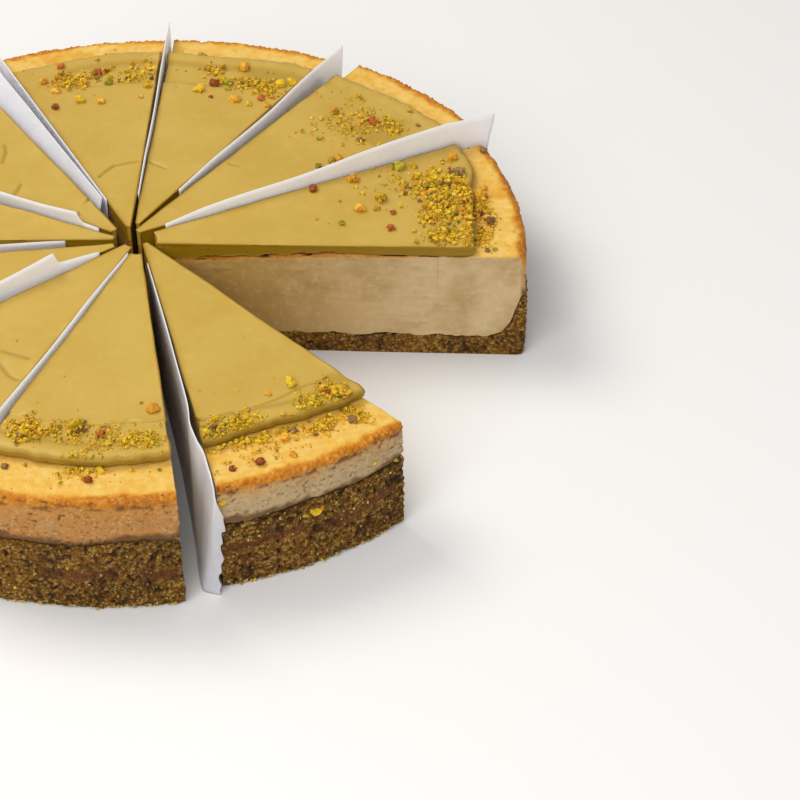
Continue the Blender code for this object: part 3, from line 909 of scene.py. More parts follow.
@dataclass
class CrumbCrust(BakedLayer):
    """Pressed crumb: a base with an upright outer wall, rough on its side and at open cuts."""

    def profile(self) -> list[tuple[float, float]]:
        """Base with its wall, from the tip's foot round to the tip's top."""
        outer, wall, base = TIN.radius, self.sector.wall, TIN.crust_base
        inside = outer - TIN.crust_wall
        return soften([
            (0.0, 0.0, 0.0), (outer - 1.2, 0.0, 0.0), (outer, 1.5, 0.0), (outer, wall * 0.7, 0.0),
            (outer - 0.2, wall - 0.6, 0.5), (outer - 1.6, wall, 0.5), (inside, wall * 0.55, 0.0),
            (inside - 3.0, base + 2.0, 0.0), (inside - 8.0, base, 0.0), (0.0, base, 0.0)])

    def grain(self, at: Points) -> np.ndarray:
        """Fine on the outer side too."""
        wanted = super().grain(at)
        wanted[(at.radius > TIN.radius - 2.4) & (at.level > 0.1)] = self.fine
        return wanted

    def smear(self, at: Points) -> np.ndarray:
        """Where the crumb was rubbed smooth and browned: a broken band half way up the wall."""
        middle = self.sector.wall * 0.6 + 1.8 * at.falling(14.0, 83)
        return hump(at.level, middle, 2.0) * at.patches(9.0, 85, -0.4, 0.15)

    def relief(self, at: Points) -> np.ndarray:
        """Crumbs and pits on the side and at open cuts, and only inwards in a gap."""
        distance, number = grains(at.spot, 1.7, 11)
        small, _ = grains(at.spot, 0.9, 29)
        crumbs = (0.5 - distance) * (0.6 + 0.8 * number) + (0.45 - small) * 0.5
        pits = -0.8 * at.patches(1.6, 5, 0.35, 0.75)
        rough = (crumbs + pits) * (1.0 - 0.75 * self.smear(at)) + 0.35 * at.ripple(7.0, 3)
        outer = self.outer(at)
        face = (1.0 - smooth_step(at.inset, 0.3, 1.2)) * (1.0 - outer)
        gap = -0.15 - 0.35 * np.abs(at.ripple(2.5, 8))
        foot = 1.0 - smooth_step(at.level, 0.0, 0.3)
        moved = outer * rough + face * np.where(self.opened(at), rough * 0.8, gap)
        return moved * (1.0 - foot * (at.radius < TIN.radius - 2.0))

    def values(self, at: Points, relief: np.ndarray) -> dict[str, np.ndarray]:
        """How deep the crumb is pitted, which the finish darkens as painted shade, and where it was
        rubbed smooth.
        """
        return {"deep": smooth_step(-relief, -0.2, 0.6), "smear": self.smear(at) * self.outer(at)}


KNIFE_LINES = (97.0, 108.5)


@dataclass
class CheeseFilling(BakedLayer):
    """Baked cheese inside the crust, with a rounded rim that browned."""
    shell: float = 1.2
    skin: float = 1.3
    side: float = TIN.radius - 0.6

    def profile(self) -> list[tuple[float, float]]:
        """Body from the tip's foot, up the side and over the rim to the tip's top."""
        outer, wall, height = TIN.radius, self.sector.wall, self.sector.height
        inside = outer - TIN.crust_wall - TIN.layer_gap
        floor = TIN.crust_base + TIN.layer_gap
        return soften([
            (0.0, floor, 0.0), (inside - 8.0, floor, 0.0), (inside - 3.0, floor + 2.0, 0.0),
            (inside, wall * 0.55 + TIN.layer_gap, 0.0),
            (outer - 1.9, wall + TIN.layer_gap + 0.1, 0.0), (self.side, wall + 1.0, 0.6),
            (self.side, height, self.sector.rim_round), (self.side - 9.0, height - 0.5, 1.0),
            (TIN.cream_reach - 8.0, self.sector.dish(TIN.radius), 0.0),
            (TIN.dish_radius, self.sector.dish(TIN.dish_radius), 0.0),
            (0.0, self.sector.dish(0.0), 0.0)], steps=6)

    def grain(self, at: Points) -> np.ndarray:
        """Fine on the side and the rim too, and finest at the lip."""
        height = self.sector.height
        rim = (at.radius > 101.0) & (at.level > height - 2.0)
        outer = (at.radius > TIN.radius - 2.2) & (at.level > self.sector.wall - 0.4)
        wanted = super().grain(at)
        wanted[rim | outer] = self.fine
        wanted[(at.radius > TIN.radius - 4.5) & (at.level > height - 3.5)] = 0.45
        return wanted

    def lip(self, at: Points) -> np.ndarray:
        """How near the rim's outer corner a point is."""
        away = np.hypot(at.radius - self.side, (at.level - self.sector.height) * 0.8)
        return hump(away, 0.0, 2.4)

    def skin_share(self, at: Points) -> np.ndarray:
        """Where the browned skin reaches, with a jagged lower edge."""
        ragged = 0.55 * at.ripple(1.7, 45) + 0.5 * at.ripple(5.0, 43)
        bottom = self.sector.height - self.sector.rim_round * 0.6 - self.skin * (0.9 + ragged)
        return smooth_step(at.level, bottom - 0.3, bottom + 0.3)

    def relief(self, at: Points) -> np.ndarray:
        """Close crumb on the side, gentle hills on the rim, and smooth cuts with knife lines."""
        height = self.sector.height
        top = smooth_step(at.level, height - 2.4, height - 0.9) * (at.radius > 100.0)
        outer = self.outer(at)
        side = outer * (1.0 - top)
        distance, number = grains(at.spot, 1.2, 17)
        crumbs = (0.5 - distance) * 0.8 * number + 0.2 * at.ripple(0.9, 19)
        pores = -0.55 * at.patches(1.4, 47, 0.5, 0.8)
        smear = at.patches(8.0, 21, -0.1, 0.5)
        rough = (crumbs + pores) * (1.0 - 0.6 * smear) + 0.35 * at.ripple(4.0, 23)
        under = -0.5 * hump(at.level, height - self.sector.rim_round - 1.2, 0.8)
        side_move = side * (rough + under * (0.5 + 0.7 * at.ripple(2.6, 25)))
        broken, _ = grains(at.spot, 1.2, 49)
        lip = self.lip(at) * (0.4 - broken + 0.35 * at.ripple(3.2, 51))
        hills = 0.2 * at.ripple(9.0, 27) + 0.07 * at.ripple(2.0, 31)
        dents = -0.3 * at.patches(3.4, 53, 0.6, 0.85)
        return side_move + lip + top * (hills + dents) + self.cut_relief(at, outer, top)

    def cut_relief(self, at: Points, outer: np.ndarray, top: np.ndarray) -> np.ndarray:
        """Drag of the knife at an open cut, and a plain dent inwards at one in a gap."""
        height = self.sector.height
        face = (1.0 - smooth_step(at.inset, 0.2, 1.0)) * (1.0 - outer) * (1.0 - top)
        lines = self.knife_height(at) * sum(-0.2 * hump(at.radius, line, 0.35) for line in KNIFE_LINES)
        pits = -0.35 * at.patches(1.9, 35, 0.74, 0.95)
        lumps = 0.45 * at.patches(2.6, 37, 0.5, 0.85) * hump(at.level, height - 6.0, 4.0)
        drag = 0.16 * self.streak(at) + 0.16 * at.ripple(11.0, 39)
        chips = -0.7 * at.patches(1.4, 101, 0.0, 0.6)
        chips *= smooth_step(at.level, height - 4.0, height - 1.0)
        chips *= smooth_step(at.radius, 102.0, 108.0)
        cut = drag + lines + pits + lumps + chips + 0.03 * at.ripple(1.2, 41)
        gap = -0.12 - 0.2 * np.abs(at.ripple(4.0, 42))
        return face * np.where(self.opened(at), cut, gap)

    def knife_height(self, at: Points) -> np.ndarray:
        """Share of the cut's upper half, which carries the knife's upright lines."""
        return smooth_step(at.level, self.sector.height - 24.0, self.sector.height - 8.0)

    def streak(self, at: Points) -> np.ndarray:
        """Streaks that the knife left along the cut."""
        level = at.level + 0.05 * at.radius + 1.2 * at.ripple(15.0, 61)
        drawn = np.column_stack((at.radius / 9.0, level / 1.3, np.zeros(len(level))))
        strength = at.patches(16.0, 95, -0.5, 0.6)
        return strength * (ripple(drawn, 1.0, 63) + 0.5 * ripple(drawn, 0.45, 65))

    def browning(self, at: Points) -> tuple[np.ndarray, np.ndarray]:
        """Where the skin browned.

        Args:
            at: the points.

        Returns:
            The share of the skin at each point, and how dark it baked there.
        """
        height = self.sector.height
        inner = smooth_step(at.radius, 60.0, 80.0) * smooth_step(at.inset, 0.15, 0.6)
        seen = 0.75 * smooth_step(at.level + 0.4 * at.ripple(1.5, 97), height - 1.9, height - 0.5)
        seen *= smooth_step(at.radius, 96.0, 104.0)
        under = self.sector.dish(0.0) + TIN.centre_dish * np.minimum(at.radius / TIN.dish_radius, 1.0)
        low = smooth_step(at.level + 0.6 * at.ripple(2.2, 99), under - 1.5, under - 0.3)
        low *= 1.0 - smooth_step(at.radius, 92.0, 106.0)
        rim = self.skin_share(at) * np.maximum(inner, at.radius > TIN.radius - 2.0)
        rim = np.maximum(np.maximum(rim, seen), 0.75 * low)
        ragged = 0.8 * at.ripple(2.4, 55) + 0.8 * at.ripple(7.0, 57)
        edge = smooth_step(at.radius + ragged, self.side - 4.4, self.side - 1.4)
        bake = 0.15 + 0.1 * at.ripple(5.0, 59) + 0.16 * at.patches(7.0, 69, 0.25, 0.7) + 0.62 * edge
        return rim, np.maximum(bake, 0.85 * low)

    def values(self, at: Points, relief: np.ndarray) -> dict[str, np.ndarray]:
        """Where the rim and side lie and how they baked, and the marks of the cut."""
        rim, bake = self.browning(at)
        outer = self.outer(at)
        foot, head = self.sector.wall + 1.8, self.sector.height - self.sector.rim_round - 1.0
        level = at.level + 1.1 * at.ripple(3.0, 67) + 1.5 * at.ripple(9.0, 77)
        lines = sum(hump(at.radius, line, 0.3) for line in KNIFE_LINES) * self.knife_height(at)
        plain = outer + (1.0 - outer) * self.opened(at)
        # run takes the cut face from its painted shade near the middle to its plain colour.
        return {"bake": bake, "rim": rim, "side": outer, "run": smooth_step(at.radius, 20.0, 100.0),
                "up": np.clip((level - foot) / (head - foot), 0.0, 1.0),
                "toast": np.full(len(bake), self.sector.toast),
                "streak": np.clip(np.maximum(self.streak(at), lines), 0.0, 1.0),
                # deep is how far pores and dents sink, for painted shade.
                "deep": plain * (0.3 + 0.7 * outer) * smooth_step(-relief, 0.15, 0.7)}


@dataclass(frozen=True)
class Stroke:
    """A spatula's stroke in the cream: a line of plan points as radii and headings."""
    line: tuple[tuple[float, float], ...]
    lift: float
    width: float

    def near(self, plan: np.ndarray) -> np.ndarray:
        """How near plan points from the cake's middle are to the mark, from 0 to 1."""
        spots = [Vector((radius * math.cos(math.radians(heading)),
                         radius * math.sin(math.radians(heading))))
                 for radius, heading in self.line]
        nearest = np.full(len(plan), 99.0)
        for first, last in zip(spots, spots[1:]):
            way = np.array(last - first)
            away = plan - np.array(first)
            share = np.clip(away @ way / (way @ way), 0.0, 1.0)
            nearest = np.minimum(nearest, np.linalg.norm(away - share[:, None] * way, axis=1))
        flat = np.column_stack((plan, np.zeros(len(plan))))
        broken = smooth_step(ripple(flat, 4.0, 79), -0.75, 0.2)
        return hump(nearest, 0.0, self.width) * broken


STROKES = (
    Stroke(((95.0, 269.0), (96.0, 273.0), (93.5, 274.5), (95.5, 278.0), (96.0, 281.5)), 0.4, 0.5),
    Stroke(((89.0, 254.0), (86.5, 256.0), (84.5, 258.0)), 0.3, 0.5),
    Stroke(((94.5, 286.0), (96.0, 289.0), (95.5, 293.0), (96.0, 296.5)), -0.6, 0.5),
    Stroke(((38.0, 112.5), (41.0, 107.5), (43.0, 104.0), (44.0, 96.5), (45.0, 90.0)), -0.7, 0.6),
    Stroke(((44.5, 87.5), (43.5, 85.0), (41.5, 79.5)), -0.5, 0.7),
    Stroke(((23.0, 147.0), (25.5, 135.0), (28.0, 126.0)), -1.2, 0.5),
    Stroke(((28.0, 147.5), (26.0, 139.5), (27.5, 128.0)), 0.4, 0.9),
    Stroke(((48.5, 150.0), (51.0, 142.5)), -0.6, 0.6),
    Stroke(((65.5, 138.0), (69.5, 134.0), (73.5, 132.0)), -0.5, 0.7),
    Stroke(((52.0, 56.0), (53.0, 52.5)), -0.4, 0.5),
    Stroke(((75.0, 243.0), (78.5, 247.0), (79.5, 249.5)), -0.4, 0.9),
    Stroke(((69.5, 239.5), (69.0, 248.0)), -0.3, 1.0),
)


@dataclass
class CreamTop(Wedge):
    """Poured pistachio cream with a fat rounded edge, thicker over the dished middle."""
    fine: float = 0.62
    middling: float = 1.3
    coarse: float = 6.0
    cut_round: float = 0.3
    ledge: float = 95.5

    def profile(self) -> list[tuple[float, float]]:
        """Slab from the tip's underside, round the rolled edge and back over the top."""
        height, top = self.sector.height, self.sector.cream_top()
        edge, under = TIN.cream_reach, TIN.layer_gap
        return soften([
            (0.0, self.sector.dish(0.0) + under, 0.0),
            (TIN.dish_radius, self.sector.dish(TIN.dish_radius) + under, 0.0),
            (edge - 8.0, height - TIN.rim_stand + under, 0.0),
            (edge - 2.2, height - 0.6 + under, 0.0), (edge - 0.2, height - 0.1, 0.8),
            (edge, top + 0.1, 2.6), (edge - 12.0, top + 0.2, 0.0),
            (TIN.dish_radius, top - 0.2, 0.0), (0.0, top - 0.6, 0.0)], steps=7)

    def grain(self, at: Points) -> np.ndarray:
        """Fine at the rolled edge, along the cuts and by the spatula's marks."""
        upper = at.level > self.sector.height - 0.2
        cut = (at.inset < 1.6) & (at.level > self.sector.dish(0.0))
        marked = sum(stroke.near(at.spot[:, :2]) for stroke in STROKES) > 0.01
        wanted = np.full(len(at.radius), self.coarse)
        wanted[upper] = self.middling
        wanted[cut | (upper & (at.radius > self.ledge - 3.0))] = self.fine
        wanted[upper & marked] = 0.5
        return wanted

    def shape(self, at: Points) -> tuple[np.ndarray, np.ndarray]:
        """Wavy outer edge."""
        part = np.clip((at.radius - TIN.cream_reach + 20.0) / 14.0, 0.0, 1.0)
        wave = cream_wave(np.arctan2(at.spot[:, 1], at.spot[:, 0]))
        ragged = 0.5 * at.falling(3.0, 87) * smooth_step(at.radius, 104.0, 111.0)
        return at.radius + wave * part + ragged, at.level + self.crack(at)

    def crack(self, at: Points) -> np.ndarray:
        """How far the cream stands off the filling along an open cut, near the cake's middle."""
        under = self.sector.dish(TIN.dish_radius) + 1.4
        low = 1.0 - smooth_step(at.level, under - 0.8, under)
        near = hump(at.inset, 0.0, 3.0) * (1.0 - smooth_step(at.radius, 60.0, 88.0))
        ragged = np.clip(0.55 + at.falling(5.0, 89) + 0.5 * at.falling(1.6, 91), 0.0, 1.4)
        return 0.8 * low * near * ragged * self.opened(at)

    def step(self, at: Points) -> np.ndarray:
        """Share of the thinner outer band, past the ledge that the spatula left."""
        away = np.hypot(at.spot[:, 0], at.spot[:, 1])
        ledge = self.ledge + at.falling(9.0, 55)
        outside = smooth_step(away, ledge - 0.3, ledge + 0.3)
        strength = smooth_step(at.falling(20.0, 57), -0.1, 0.5)
        return outside * strength * (1.0 - smooth_step(at.radius, 101.0, 107.0))

    def relief(self, at: Points) -> np.ndarray:
        """Spatula waves, the ledge inside the rolled edge, and lips drawn up along the cuts."""
        top_level = self.sector.cream_top()
        low = self.sector.dish(0.0)
        top = smooth_step(at.level, top_level - 1.4, top_level - 0.7)
        waves = 0.26 * at.falling(24.0, 51) + 0.08 * at.falling(9.0, 53)
        roll = 0.3 * hump(at.radius, TIN.cream_reach - 3.4, 2.0)
        marks = sum(stroke.lift * stroke.near(at.spot[:, :2]) for stroke in STROKES)
        lip = 0.28 * hump(at.inset, 0.0, 0.9) * (0.6 + 0.6 * at.ripple(6.0, 59))
        side = (1.0 - top) * smooth_step(at.level, low + 0.5, low + 1.2)
        drag = 0.14 * ripple(at.spot * np.array([1.0, 1.0, 0.4]), 3.0, 61) - 0.1
        return top * (waves - 0.5 * self.step(at) + roll + marks + lip) + side * drag

    def values(self, at: Points, relief: np.ndarray) -> dict[str, np.ndarray]:
        """Where the cream shows its edge, and where a spatula or knife marked it, both darkened by the
        finish as painted shade.
        """
        side = 1.0 - smooth_step(at.inset, 0.1, 0.5)
        rolled = smooth_step(at.radius, TIN.cream_reach - 2.2, TIN.cream_reach - 0.4)
        upper = at.level > self.sector.height - 0.2
        # Dents and the ledge's step get painted shade.
        marks = sum(stroke.near(at.spot[:, :2]) * (stroke.lift < 0.0) for stroke in STROKES)
        step = self.step(at)
        line = np.clip(4.0 * step * (1.0 - step), 0.0, 1.0)
        drawn = 0.45 * np.exp(-at.inset / 0.8) * at.patches(5.0, 93, -0.5, 0.4)
        return {"edge": np.maximum(np.maximum(side, rolled * 0.7), drawn),
                "mark": np.clip(np.maximum(marks * 0.5, line * 0.4), 0.0, 0.6) * upper}


# Baking paper

def between(pairs: Sequence[tuple[float, float]], run: float) -> float:
    """Value at a distance.

    Args:
        pairs: a distance and the value there, from near to far.
        run: the distance.

    Returns:
        The value, in a straight line between two pairs.
    """
    for (before, low), (after, high) in zip(pairs, pairs[1:]):
        if run <= after:
            return low + (high - low) * (run - before) / (after - before)
    return pairs[-1][1]


def along_bend(knots: Sequence[Sequence[float]], share: float) -> np.ndarray:
    """Point on a smooth line through knots.

    Args:
        knots: the numbers of each knot, in order.
        share: how far along the line, evenly by knot.

    Returns:
        The numbers at that share.
    """
    spots = np.array(knots, float)
    place = min(share * (len(spots) - 1), len(spots) - 1.0001)
    low = int(place)
    part = place - low
    before, first = spots[max(low - 1, 0)], spots[low]
    last, after = spots[low + 1], spots[min(low + 2, len(spots) - 1)]
    return 0.5 * (2 * first + (last - before) * part
                  + (2 * before - 5 * first + 4 * last - after) * part ** 2
                  + (3 * first - before - 3 * last + after) * part ** 3)


@dataclass
class Sheet:
    """A strip of baking paper, laid out as a grid and stood in its cut."""
    name: str
    thick: float = 0.3
    steps: tuple[int, int] = (100, 30)
    buckle: float = 0.12

    def spot(self, share: float, rise: float) -> Vector:
        """Point at a share of the strip's length and of its height."""
        raise NotImplementedError

    def build(self, finish: bpy.types.Material) -> bpy.types.Object:
        """Make the strip that replaces its solid."""
        work = bmesh.new()
        bmesh.ops.create_grid(work, x_segments=self.steps[0], y_segments=self.steps[1], size=0.5)
        flat = np.array([(vert.co.x + 0.5, vert.co.y + 0.5, 0.0) for vert in work.verts])
        for vert, (share, rise, _) in zip(work.verts, flat):
            vert.co = self.spot(share, rise)
        bmesh.ops.recalc_face_normals(work, faces=work.faces)
        work.normal_update()
        waves = ripple(flat * np.array([9.0, 2.5, 1.0]), 1.0, len(self.name) + int(self.name[-1]))
        waves *= self.buckle * np.clip(flat[:, 1] * 6.0, 0.0, 1.0)
        for vert, wave in zip(work.verts, waves):
            vert.co += vert.normal * wave
        bmesh.ops.solidify(work, geom=work.faces, thickness=self.thick)
        lowest = min(vert.co.z for vert in work.verts)
        bmesh.ops.translate(work, verts=work.verts, vec=Vector((*TIN.middle, -lowest)))
        bmesh.ops.scale(work, verts=work.verts, vec=(MM, MM, MM))
        face_outwards(work)
        mesh = to_mesh(work, self.name + "_finished")
        mesh.shade_smooth()
        return settle(self.name + "_finished", mesh, finish, self.name)


@dataclass
class Divider(Sheet):
    """Paper that stands upright between two slices, its foot shorter than its head."""
    before: int = 0
    across: float = 0.5
    heads: tuple[tuple[float, float], ...] = ()
    wave: float = 0.1
    foot_end: float = 128.0
    torn: float = 0.006

    def plan(self, run: float) -> Vector:
        """Plan point at a distance along the cut, with its slight sway."""
        first = SECTORS[self.before].end
        last = SECTORS[self.before + 1].start
        way = last.point(run) - first.point(run)
        sway = self.wave * math.sin(run * 0.08 + self.heads[0][0])
        return first.point(run) + way * self.across + last.left() * sway

    def spot(self, share: float, rise: float) -> Vector:
        """Point on the strip between its foot and its head."""
        level = max(SECTORS[self.before].cream_top(), SECTORS[self.before + 1].cream_top())
        inner, outer = self.heads[0][0], self.heads[-1][0]
        share *= 1.0 - self.torn * abs(math.sin(9.0 * rise + outer)) * rise
        run = inner + (outer - inner) * share
        foot = self.plan(inner + (self.foot_end - inner) * share)
        head = self.plan(run)
        high = level + between(self.heads, run) + 0.3 * math.sin(run * 0.11 + outer)
        plan = foot.lerp(head, rise)
        return Vector((plan.x, plan.y, high * rise))


@dataclass
class FrontDivider(Sheet):
    """Paper between the two front slices, leaning, with its outer end bent round the corner.

    Each bend is how far the head runs along the last slice's cut, stands aside from it and stands
    above its cream, and then how far the foot runs and stands aside.
    """
    steps: tuple[int, int] = (150, 30)
    buckle: float = 0.3
    seat: float = 0.25
    torn: float = 0.045
    after: int = 9
    bends: tuple[tuple[float, float, float, float, float], ...] = (
        (14, 1.0, 0.2, 14, 1.0), (40, 1.2, 1.2, 41, 1.8), (65, 1.4, 1.6, 67, 2.6),
        (88, 2.0, 1.8, 92, 4.0), (99, 3.2, 2.2, 107, 5.2), (105, 2.5, 1.6, 113, 6.0),
        (110, 1.1, 0.0, 118, 6.4), (116, 0.95, -1.2, 121.5, 6.5), (121.5, 1.0, -3.0, 123.5, 6.3),
        (124.9, 1.0, -6.5, 125.2, 4.6), (125.8, -1.7, -14.5, 127.0, 1.2))

    def spot(self, share: float, rise: float) -> Vector:
        """Point on the bent strip."""
        notch = 0.5 * abs(math.sin(7.0 * rise)) + 0.5 * abs(math.sin(17.0 * rise + 1.0))
        share *= 1.0 - self.torn * notch
        head_run, head_aside, lift, foot_run, foot_aside = along_bend(self.bends, share)
        sector = SECTORS[self.after]
        cut = sector.start
        foot = cut.point(foot_run) - cut.left() * (foot_aside - self.seat)
        head = cut.point(head_run) - cut.left() * (head_aside - self.seat)
        plan = foot.lerp(head, rise)
        return Vector((plan.x, plan.y, (sector.cream_top() + lift) * rise))


@dataclass
class FoldedDivider(Sheet):
    """Paper folded double in the widest cut: one leg by each slice, the second flopped over."""
    steps: tuple[int, int] = (90, 90)
    buckle: float = 0.2
    start: float = 22.0
    length: float = 111.0
    before: int = 3

    def spot(self, share: float, rise: float) -> Vector:
        """Point on the folded strip: down the first leg, across the fold and up the second."""
        first, last = SECTORS[self.before].end, SECTORS[self.before + 1].start
        run = self.start + self.length * share
        right, left = first.point(run), last.point(run)
        across = (left - right).normalized()
        width = (left - right).length
        level = SECTORS[self.before].cream_top()
        far = width - 1.3
        section = ((0.9, level + 0.4), (0.95, 26.0), (1.0, 9.0), (0.30 * width, 0.6),
                   (far - 0.9, 0.6), (far, 9.0), (far, 24.0), (far, level - 6.0),
                   (0.34 * width + 0.6, level + 1.6 + share))
        step, high = along_bend(section, rise)
        foot = right + across * step
        return Vector((foot.x, foot.y, high))


SHEETS = (
    Divider("paper_01_02", before=0,
            heads=((12, 0.6), (24, 2.2), (64, 5.0), (117, 8.8), (136, 7.2))),
    Divider("paper_02_03", before=1, across=0.7, wave=0.2,
            heads=((30, 0.3), (60, 1.0), (95, 2.2), (134, 3.5))),
    Divider("paper_03_04", before=2, heads=((24, 0.8), (80, 1.9), (134, 3.4))),
    FoldedDivider("paper_04_05"),
    Divider("paper_05_06", before=4, across=0.6, wave=0.3, buckle=0.25,
            heads=((12, 0.2), (19, 1.0), (20, 4.4), (52, 2.8), (133, 4.5))),
    Divider("paper_06_07", before=5, across=0.2, wave=0.4, buckle=0.25,
            heads=((22, -0.8), (60, -0.6), (131, 2.0))),
    Divider("paper_07_08", before=6, across=0.6, wave=0.4, buckle=0.3,
            heads=((14, 0.3), (29, 2.8), (30.5, 7.4), (50, 5.6), (132, 6.5))),
    Divider("paper_08_09", before=7,
            heads=((10, 0.2), (40, 0.9), (90, 2.0), (129, 2.6))),
    FrontDivider("paper_09_10"),
)


# Crumbs

class Nut(Enum):
    """Kinds of crumb, each with its finish."""
    YELLOW = NutCrumb("chopped pistachio", "#EFCA2C", "#DAAF1C", "#97740E")
    GREEN = NutCrumb("green pistachio", "#C8BC34", "#A69C26", "#6E681E")
    ORANGE = NutCrumb("toasted pistachio", "#F0B83C", "#DB9A22", "#A86C1A")
    RED = NutCrumb("dark toasted pistachio", "#C8702E", "#A2501A", "#6E3412")
    SKIN = NutCrumb("pistachio skin", "#A27C48", "#7E5832", "#50341E")
    PALE = NutCrumb("biscuit crumb", "#CFB274", "#AE8C4C", "#7C5C28")


@dataclass(frozen=True)
class Drift:
    """Crumbs strewn round a place: how far they spread, how many, and how wide they are."""
    radius: float
    heading: float
    spread: tuple[float, float]
    count: int
    widths: tuple[float, float]
    mix: str = "YYYYYYYYYYYYOG"


LETTERS = {"Y": Nut.YELLOW, "G": Nut.GREEN, "O": Nut.ORANGE, "R": Nut.RED, "S": Nut.SKIN,
           "P": Nut.PALE}

# Crumbs large enough to be told apart: distance from the cake's middle, heading, width and kind
LUMPS = {
    "slice_09": (
        (98, 265.5, 6.5, "Y"), (98.5, 267, 3, "S"), (100.5, 270, 3.4, "R"), (99, 271.5, 2.4, "O"),
        (104, 256.5, 2.2, "S"), (102, 260, 2.2, "O"), (98, 262.5, 2.4, "Y"), (90.5, 279.2, 4, "O"),
        (105, 277.5, 2.6, "Y"), (106.5, 278.5, 2, "Y"), (103.5, 274, 2, "Y"), (104.5, 271.5, 2, "Y"),
        (87, 277, 1.3, "S"), (96, 275.5, 1.5, "Y"), (118, 269, 3.2, "R"), (112.5, 265, 2.2, "Y"),
        (113, 267, 2.6, "Y"), (113.5, 268.7, 2.2, "Y"), (113.5, 270.5, 3, "Y"),
        (114.7, 256.5, 2.6, "S"), (112.6, 259.3, 1.6, "G"), (113.3, 275, 1.8, "Y"),
        (114.2, 279, 1.6, "G")),
    "slice_10": (
        (93, 301, 2.2, "O"), (92.5, 306, 4.4, "Y"), (97, 295.5, 2, "Y"), (101.5, 288.7, 3, "S"),
        (101, 292, 2.4, "Y"), (100.5, 294.5, 3, "Y"), (102.5, 292.5, 2.6, "Y"), (101.5, 297, 2.2, "Y"),
        (103.5, 300.5, 2.2, "O"), (103.5, 309.7, 3, "R"), (99.5, 310.5, 1.3, "S"),
        (104, 305.5, 2.4, "Y"), (105, 307, 2.6, "Y"), (105.5, 311.5, 2.8, "Y"), (104, 312, 2.4, "Y"),
        (106.5, 310.5, 2.2, "S"), (104.5, 309, 2.4, "O"), (103, 288, 2.4, "Y"), (102, 287.4, 2, "Y"),
        (103.5, 290, 2, "S"), (108, 301, 2.8, "P"), (110, 299, 3.4, "O"), (110.5, 303, 2, "O"),
        (113, 303.5, 1.8, "S"), (110.5, 306.5, 2.6, "O"), (112.5, 305.5, 2.2, "Y"),
        (114.5, 309.8, 3.2, "S"), (115.5, 311.8, 2, "Y"), (116.5, 289.5, 2.8, "R"),
        (117, 293.5, 3.6, "R"), (118, 298.5, 2.8, "O"), (109, 296.5, 1.6, "G"), (108.5, 292.5, 2, "Y")),
    "slice_01": (
        (64, 24.6, 3.6, "R"), (78.5, 24.6, 4.6, "O"), (96, 25, 5, "G"), (100.5, 24, 3, "Y"),
        (83.5, 14.5, 4.8, "Y"), (75.5, 11.5, 4, "O"), (81, 11, 2.2, "Y"), (86, 9, 2.4, "R"),
        (84.5, 3, 3.4, "R"), (96, 12, 1.8, "S"), (68.5, 6, 2.6, "G"), (60.5, 9.5, 1.6, "Y"),
        (70, 16.5, 1.4, "Y"), (78.5, 18, 2, "Y"), (89, 11, 2, "Y"), (93, 21.5, 2.2, "Y"),
        (92, 1.5, 2, "Y"), (97.5, 358.8, 2.8, "Y"), (113.5, 18.8, 4.6, "S"), (115, 23.5, 3.8, "O"),
        (105.5, 17, 3.4, "Y"), (106.5, 13.5, 3.4, "Y"), (101.5, 0.5, 3, "O"), (105.5, 7, 3.2, "Y"),
        (118, 13.5, 5, "O"), (115.5, 8.5, 3, "R"), (118, 6, 4.6, "S"), (114, 3.5, 3, "Y"),
        (116, 358, 2, "S"), (118.5, 358.4, 2, "G"), (128.5, 25, 3.2, "S"), (120, 15.5, 3, "O")),
    "slice_02": (
        (78, 34.6, 3.6, "Y"), (80.5, 35, 3.4, "O"), (72.5, 34.8, 2.8, "G"), (83.5, 44.5, 2.6, "G"),
        (95, 43, 3, "Y"), (92.5, 50, 2.4, "Y"), (99, 49.5, 3.4, "O"), (104, 41.5, 4.8, "R"),
        (93.5, 38, 3, "S"), (97.5, 34.2, 2.6, "Y"), (115, 35.5, 2, "S"), (103, 44.5, 2.6, "Y")),
}

